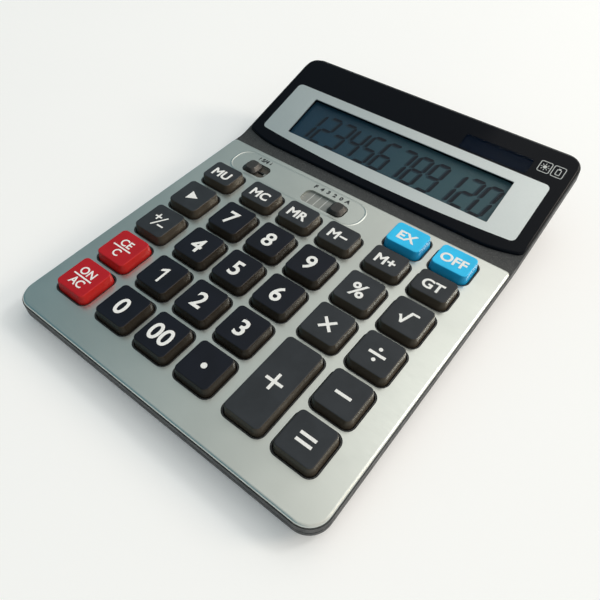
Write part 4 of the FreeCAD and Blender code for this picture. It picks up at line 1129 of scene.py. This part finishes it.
@dataclass
class SelectorField:
    """Raised line round the two selectors, with the scales printed behind their slots."""

    left: float = -67.0 * MM
    right: float = 10.7 * MM
    front: float = 117.0 * MM
    back: float = 134.3 * MM
    corner: float = 7.5 * MM
    ridge: float = 1.1 * MM
    ridge_foot: float = 0.01 * MM
    ridge_height: float = 0.16 * MM
    scale_row: float = 131.4 * MM
    scale_height: float = 2.6 * MM
    scale_weight: float = 0.055
    decimal_scale: str = "F4320A"
    decimal_ends: Point = (-20.0 * MM, -1.7 * MM)
    rounding_scale: str = "5/4"
    rounding_ends: Point = (-55.3 * MM, -48.3 * MM)
    shaft_share: float = 0.7
    shaft_width: float = 0.3 * MM
    wing_share: float = 0.45
    wing_half: float = 0.6 * MM

    def ridge_line(self) -> Outline:
        """Draw the raised line."""
        line = Outline()
        centre = ((self.left + self.right) / 2, (self.front + self.back) / 2)
        size = (self.right - self.left, self.back - self.front)
        line.ring(centre, size, self.corner, self.ridge, self.ridge_foot, self.ridge_height)
        return line

    def decimal_letters(self) -> Outline:
        """Draw the decimal selector's scale, one letter for each stop."""
        scale = Outline()
        start, end = self.decimal_ends
        step = (end - start) / (len(self.decimal_scale) - 1)
        for place, letter in enumerate(self.decimal_scale):
            scale.text(letter, (start + place * step, self.scale_row), self.scale_height, self.scale_weight)
        return scale

    def rounding_arrows(self) -> Outline:
        """Draw the rounding selector's scale: an arrow up, a fraction and an arrow down."""
        arrows = Outline()
        shaft = self.shaft_share * self.scale_height
        for spot, side in zip(self.rounding_ends, (1, -1)):
            tail = self.scale_row - side * self.scale_height / 2
            tip = self.scale_row + side * self.scale_height / 2
            wing = tip - side * self.wing_share * self.scale_height
            arrows.bar((spot, tail + side * shaft / 2), shaft, self.shaft_width, 90.0)
            arrows.plate([(spot - self.wing_half, wing), (spot + self.wing_half, wing), (spot, tip)][::side])
        middle = (sum(self.rounding_ends) / 2, self.scale_row)
        arrows.text(self.rounding_scale, middle, self.scale_height, self.scale_weight)
        return arrows

    def build(self) -> None:
        """Make the raised line and both scales."""
        level = extent("faceplate", DECK)[1].z
        plate = SLOT_FINISHES["silver_plate"]
        ridge = make_piece("selector_field", self.ridge_line(), lifted(DECK, level), CASE_BODY, plate)
        on_plate = lifted(DECK, level + PRINT_LIFT)
        make_piece("decimal_scale", self.decimal_letters(), on_plate, CASE_BODY, DARK_INK)
        make_piece("rounding_scale", self.rounding_arrows(), on_plate, CASE_BODY, DARK_INK)


@dataclass
class SwitchLines:
    """Lined film that slides with the decimal selector over its slit, and the print in the other slot."""

    stops: tuple[float, ...] = (-18.0 * MM, -14.2 * MM, -10.4 * MM)
    row: float = 123.8 * MM
    length: float = 8.6 * MM
    width: float = 0.3 * MM
    line_thickness: float = 0.01 * MM
    film_ends: Point = (-22.3 * MM, -6.3 * MM)
    film_lift: float = 0.05 * MM
    film_thickness: float = 0.02 * MM
    slit_half: float = 0.95 * MM
    rounding_ends: Point = (-58.4 * MM, -44.6 * MM)

    def build(self) -> None:
        """Make the film with its lines, and the dark print on both sides of the rounding selector's slit."""
        level = extent("switch_strip", DECK)[1].z
        above = level + self.film_lift
        film = Outline()
        left, right = self.film_ends
        film.bar(((left + right) / 2, self.row), right - left, self.length, 0.0, self.film_thickness)
        pale = SLOT_FINISHES["pale_plastic"]
        piece = make_piece("decimal_film", film, lifted(DECK, above), "decimal_slide", pale)
        lines = Outline()
        for stop in self.stops:
            lines.bar((stop, self.row), self.length, self.width, 90.0, self.line_thickness)
        on_film = lifted(DECK, above + self.film_thickness)
        make_piece("switch_lines", lines, on_film, "decimal_slide", PALE_INK)
        dark = Outline()
        left, right = self.rounding_ends
        breadth = self.length / 2 - self.slit_half
        for side in (-1, 1):
            middle = self.row + side * (self.slit_half + breadth / 2)
            dark.bar(((left + right) / 2, middle), right - left, breadth)
        make_piece("rounding_print", dark, lifted(DECK, level + PRINT_LIFT), CASE_BODY, BROWN_INK)


@dataclass
class DoorGrip:
    """Raised ribs under the battery cover, for the thumb that slides it off."""

    ribs: int = 5
    pitch: float = 1.8 * MM
    width: float = 0.8 * MM
    length: float = 12.0 * MM
    height: float = 0.45 * MM
    sink: float = 0.1 * MM
    edge: float = 0.24 * MM
    edge_steps: int = 3

    def build(self) -> None:
        """Make the ribs on the cover's outer face."""
        low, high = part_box("battery_cover")
        middle = (low + high) / 2
        ribs = Outline()
        for place in range(self.ribs):
            away = (place - (self.ribs - 1) / 2) * self.pitch
            ribs.bar((0.0, away), self.length, self.width, 0.0, self.height + self.sink)
        rims = [edge for edge in ribs.mesh.edges if all(vert.co.z > self.sink for vert in edge.verts)]
        bmesh.ops.bevel(
            ribs.mesh, geom=rims, offset=self.edge, segments=self.edge_steps, profile=ROUND_PROFILE,
            affect="EDGES", material=-1)
        spot = Matrix.Translation((middle.x, middle.y, low.z + self.sink))
        under = spot @ Matrix.Rotation(math.pi, 4, "X")
        piece = make_piece("battery_cover.ribs", ribs, under, "battery_door", SLOT_FINISHES["case_plastic"])


def dress_nodes() -> None:
    """Give every modelled piece the finish of its slot in the record."""
    for subpart in frame["record"]["subparts"]:
        node = frame["nodes"][subpart["node"]]
        finish = SLOT_FINISHES[subpart["material_slot"]]
        node.data.materials.clear()
        node.data.materials.append(finish.material())
        LOG.info("%s in %s", node.name, finish.name)


@dataclass(frozen=True)
class Lamp:
    """A square soft lamp: its place, the side of its square, its power in watts and its colour."""

    name: str
    place: Place
    size: float
    power: float
    tint: Colour

    def hang(self, aim: Vector) -> None:
        """Add the lamp to the scene.

        Args:
            aim: Point it faces.
        """
        light = bpy.data.lights.new(self.name, "AREA")
        light.size = self.size
        light.energy = self.power
        light.color = self.tint
        lamp = bpy.data.objects.new(self.name, light)
        lamp.location = self.place
        lamp.rotation_euler = (aim - Vector(self.place)).to_track_quat("-Z", "Y").to_euler()
        bpy.context.scene.collection.objects.link(lamp)


@dataclass
class Studio:
    """Pale floor, soft light from behind and to the right, and the camera."""

    floor_half: float = 3.0
    floor_colour: Colour = from_screen(244, 245, 247)
    floor_patch: float = 0.3
    floor_shades: Range = (0.985, 1.0)
    floor_roughness: float = 0.8
    floor_specular: float = 0.2
    floor_glow: float = 0.1
    glow_tint: Colour = (0.95, 1.0, 1.03)
    sky_left: Colour = (0.11, 0.25, 0.30)
    sky_right: Colour = (1.0, 0.96, 0.89)
    sky_strength: float = 0.85
    sky_slope: Place = (0.8, 0.35, 0.5)
    sky_reach: Range = (-0.2, 0.5)
    lamps: tuple[Lamp, ...] = (
        Lamp("lamp_behind", (1.1, 1.5, 1.8), 0.5, 11.3, (1.0, 0.97, 0.92)),
        Lamp("lamp_above", (0.22, 0.9, 1.6), 1.2, 3.6, (1.0, 0.97, 0.93)),
        Lamp("lamp_right", (1.65, 1.23, 0.93), 0.6, 16.6, (1.0, 0.86, 0.7)),
    )
    lamp_aim: Vector = Vector((0.0, 0.0, 20.0)) * MM
    eye: Vector = Vector((107.914, -159.315, 193.393)) * MM
    ahead: Vector = Vector((-0.419895, 0.532073, -0.735246))
    rightward: Vector = Vector((0.777991, 0.628191, 0.010294))
    lens: float = 35.335
    shift: Point = (0.02973, -0.02798)
    nearest: float = 10.0 * MM

    def floor_paper(self) -> bpy.types.Material:
        """Make the floor's pale paper, which glows a little where it is seen.

        Returns:
            Its material.
        """
        sheet = ShaderSheet("floor_paper")
        patches = sheet.part_of(sheet.noise(self.floor_patch), NOISE_RANGE)
        sheet.colour(sheet.shaded(patches, self.floor_colour, self.floor_shades))
        sheet.set(
            Roughness=self.floor_roughness, Specular_IOR_Level=self.floor_specular,
            Emission_Color=(*self.glow_tint, 1.0))
        rays = sheet.tree.nodes.new("ShaderNodeLightPath")
        seen = rays.outputs["Is Camera Ray"]
        for kind in ("Is Glossy Ray", "Is Transmission Ray"):
            seen = sheet.combine("MAXIMUM", seen, rays.outputs[kind])
        glow = sheet.part_of(seen, WHOLE, (0.0, self.floor_glow))
        sheet.link(glow, sheet.shader.inputs["Emission Strength"])
        return sheet.material

    def floor(self) -> None:
        """Make the pale floor that the object stands on."""
        mesh = bmesh.new()
        bmesh.ops.create_grid(mesh, x_segments=1, y_segments=1, size=self.floor_half)
        data = bpy.data.meshes.new("floor")
        mesh.to_mesh(data)
        mesh.free()
        data.materials.append(self.floor_paper())
        floor = bpy.data.objects.new("floor", data)
        bpy.context.scene.collection.objects.link(floor)

    def sky(self) -> None:
        """Light the room evenly, warmer and brighter to the right and behind, cooler to the left."""
        world = bpy.data.worlds.new("studio")
        world.use_nodes = True
        bpy.context.scene.world = world
        sheet = NodeSheet(world.node_tree)
        light = sheet.tree.nodes["Background"]
        light.inputs["Strength"].default_value = self.sky_strength
        towards = sheet.tree.nodes.new("ShaderNodeTexCoord").outputs["Generated"]
        slope = sheet.tree.nodes.new("ShaderNodeVectorMath")
        slope.operation = "DOT_PRODUCT"
        slope.inputs[1].default_value = self.sky_slope
        sheet.link(towards, slope.inputs[0])
        share = sheet.part_of(slope.outputs["Value"], self.sky_reach, slope=Slope.STRAIGHT)
        sheet.link(sheet.blend(share, self.sky_left, self.sky_right), light.inputs["Color"])

    def camera(self) -> None:
        """Set the camera where the photograph was taken."""
        data = bpy.data.cameras.new("camera")
        data.lens = self.lens
        data.shift_x, data.shift_y = self.shift
        data.clip_start = self.nearest
        camera = bpy.data.objects.new("camera", data)
        upward = self.rightward.cross(self.ahead)
        turn = Matrix((self.rightward, upward, -self.ahead)).transposed().to_4x4()
        camera.matrix_world = Matrix.Translation(self.eye) @ turn
        bpy.context.scene.collection.objects.link(camera)
        bpy.context.scene.camera = camera

    def build(self) -> None:
        """Set up the floor, the light and the camera."""
        bpy.context.scene.view_settings.view_transform = "Standard"
        self.floor()
        self.sky()
        for lamp in self.lamps:
            lamp.hang(self.lamp_aim)
        self.camera()


def main() -> None:
    """Dress the modelled pieces, add the marks and set the stage."""
    logging.basicConfig(level=logging.INFO, format="%(name)s: %(message)s")
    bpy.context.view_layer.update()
    Studio().build()
    dress_nodes()
    for assembly in (
            KeyLegends(), DisplayFigures(), PanelMarks(), SelectorField(), SwitchLines(), DoorGrip()):
        assembly.build()


if __name__ == "__main__":
    main()
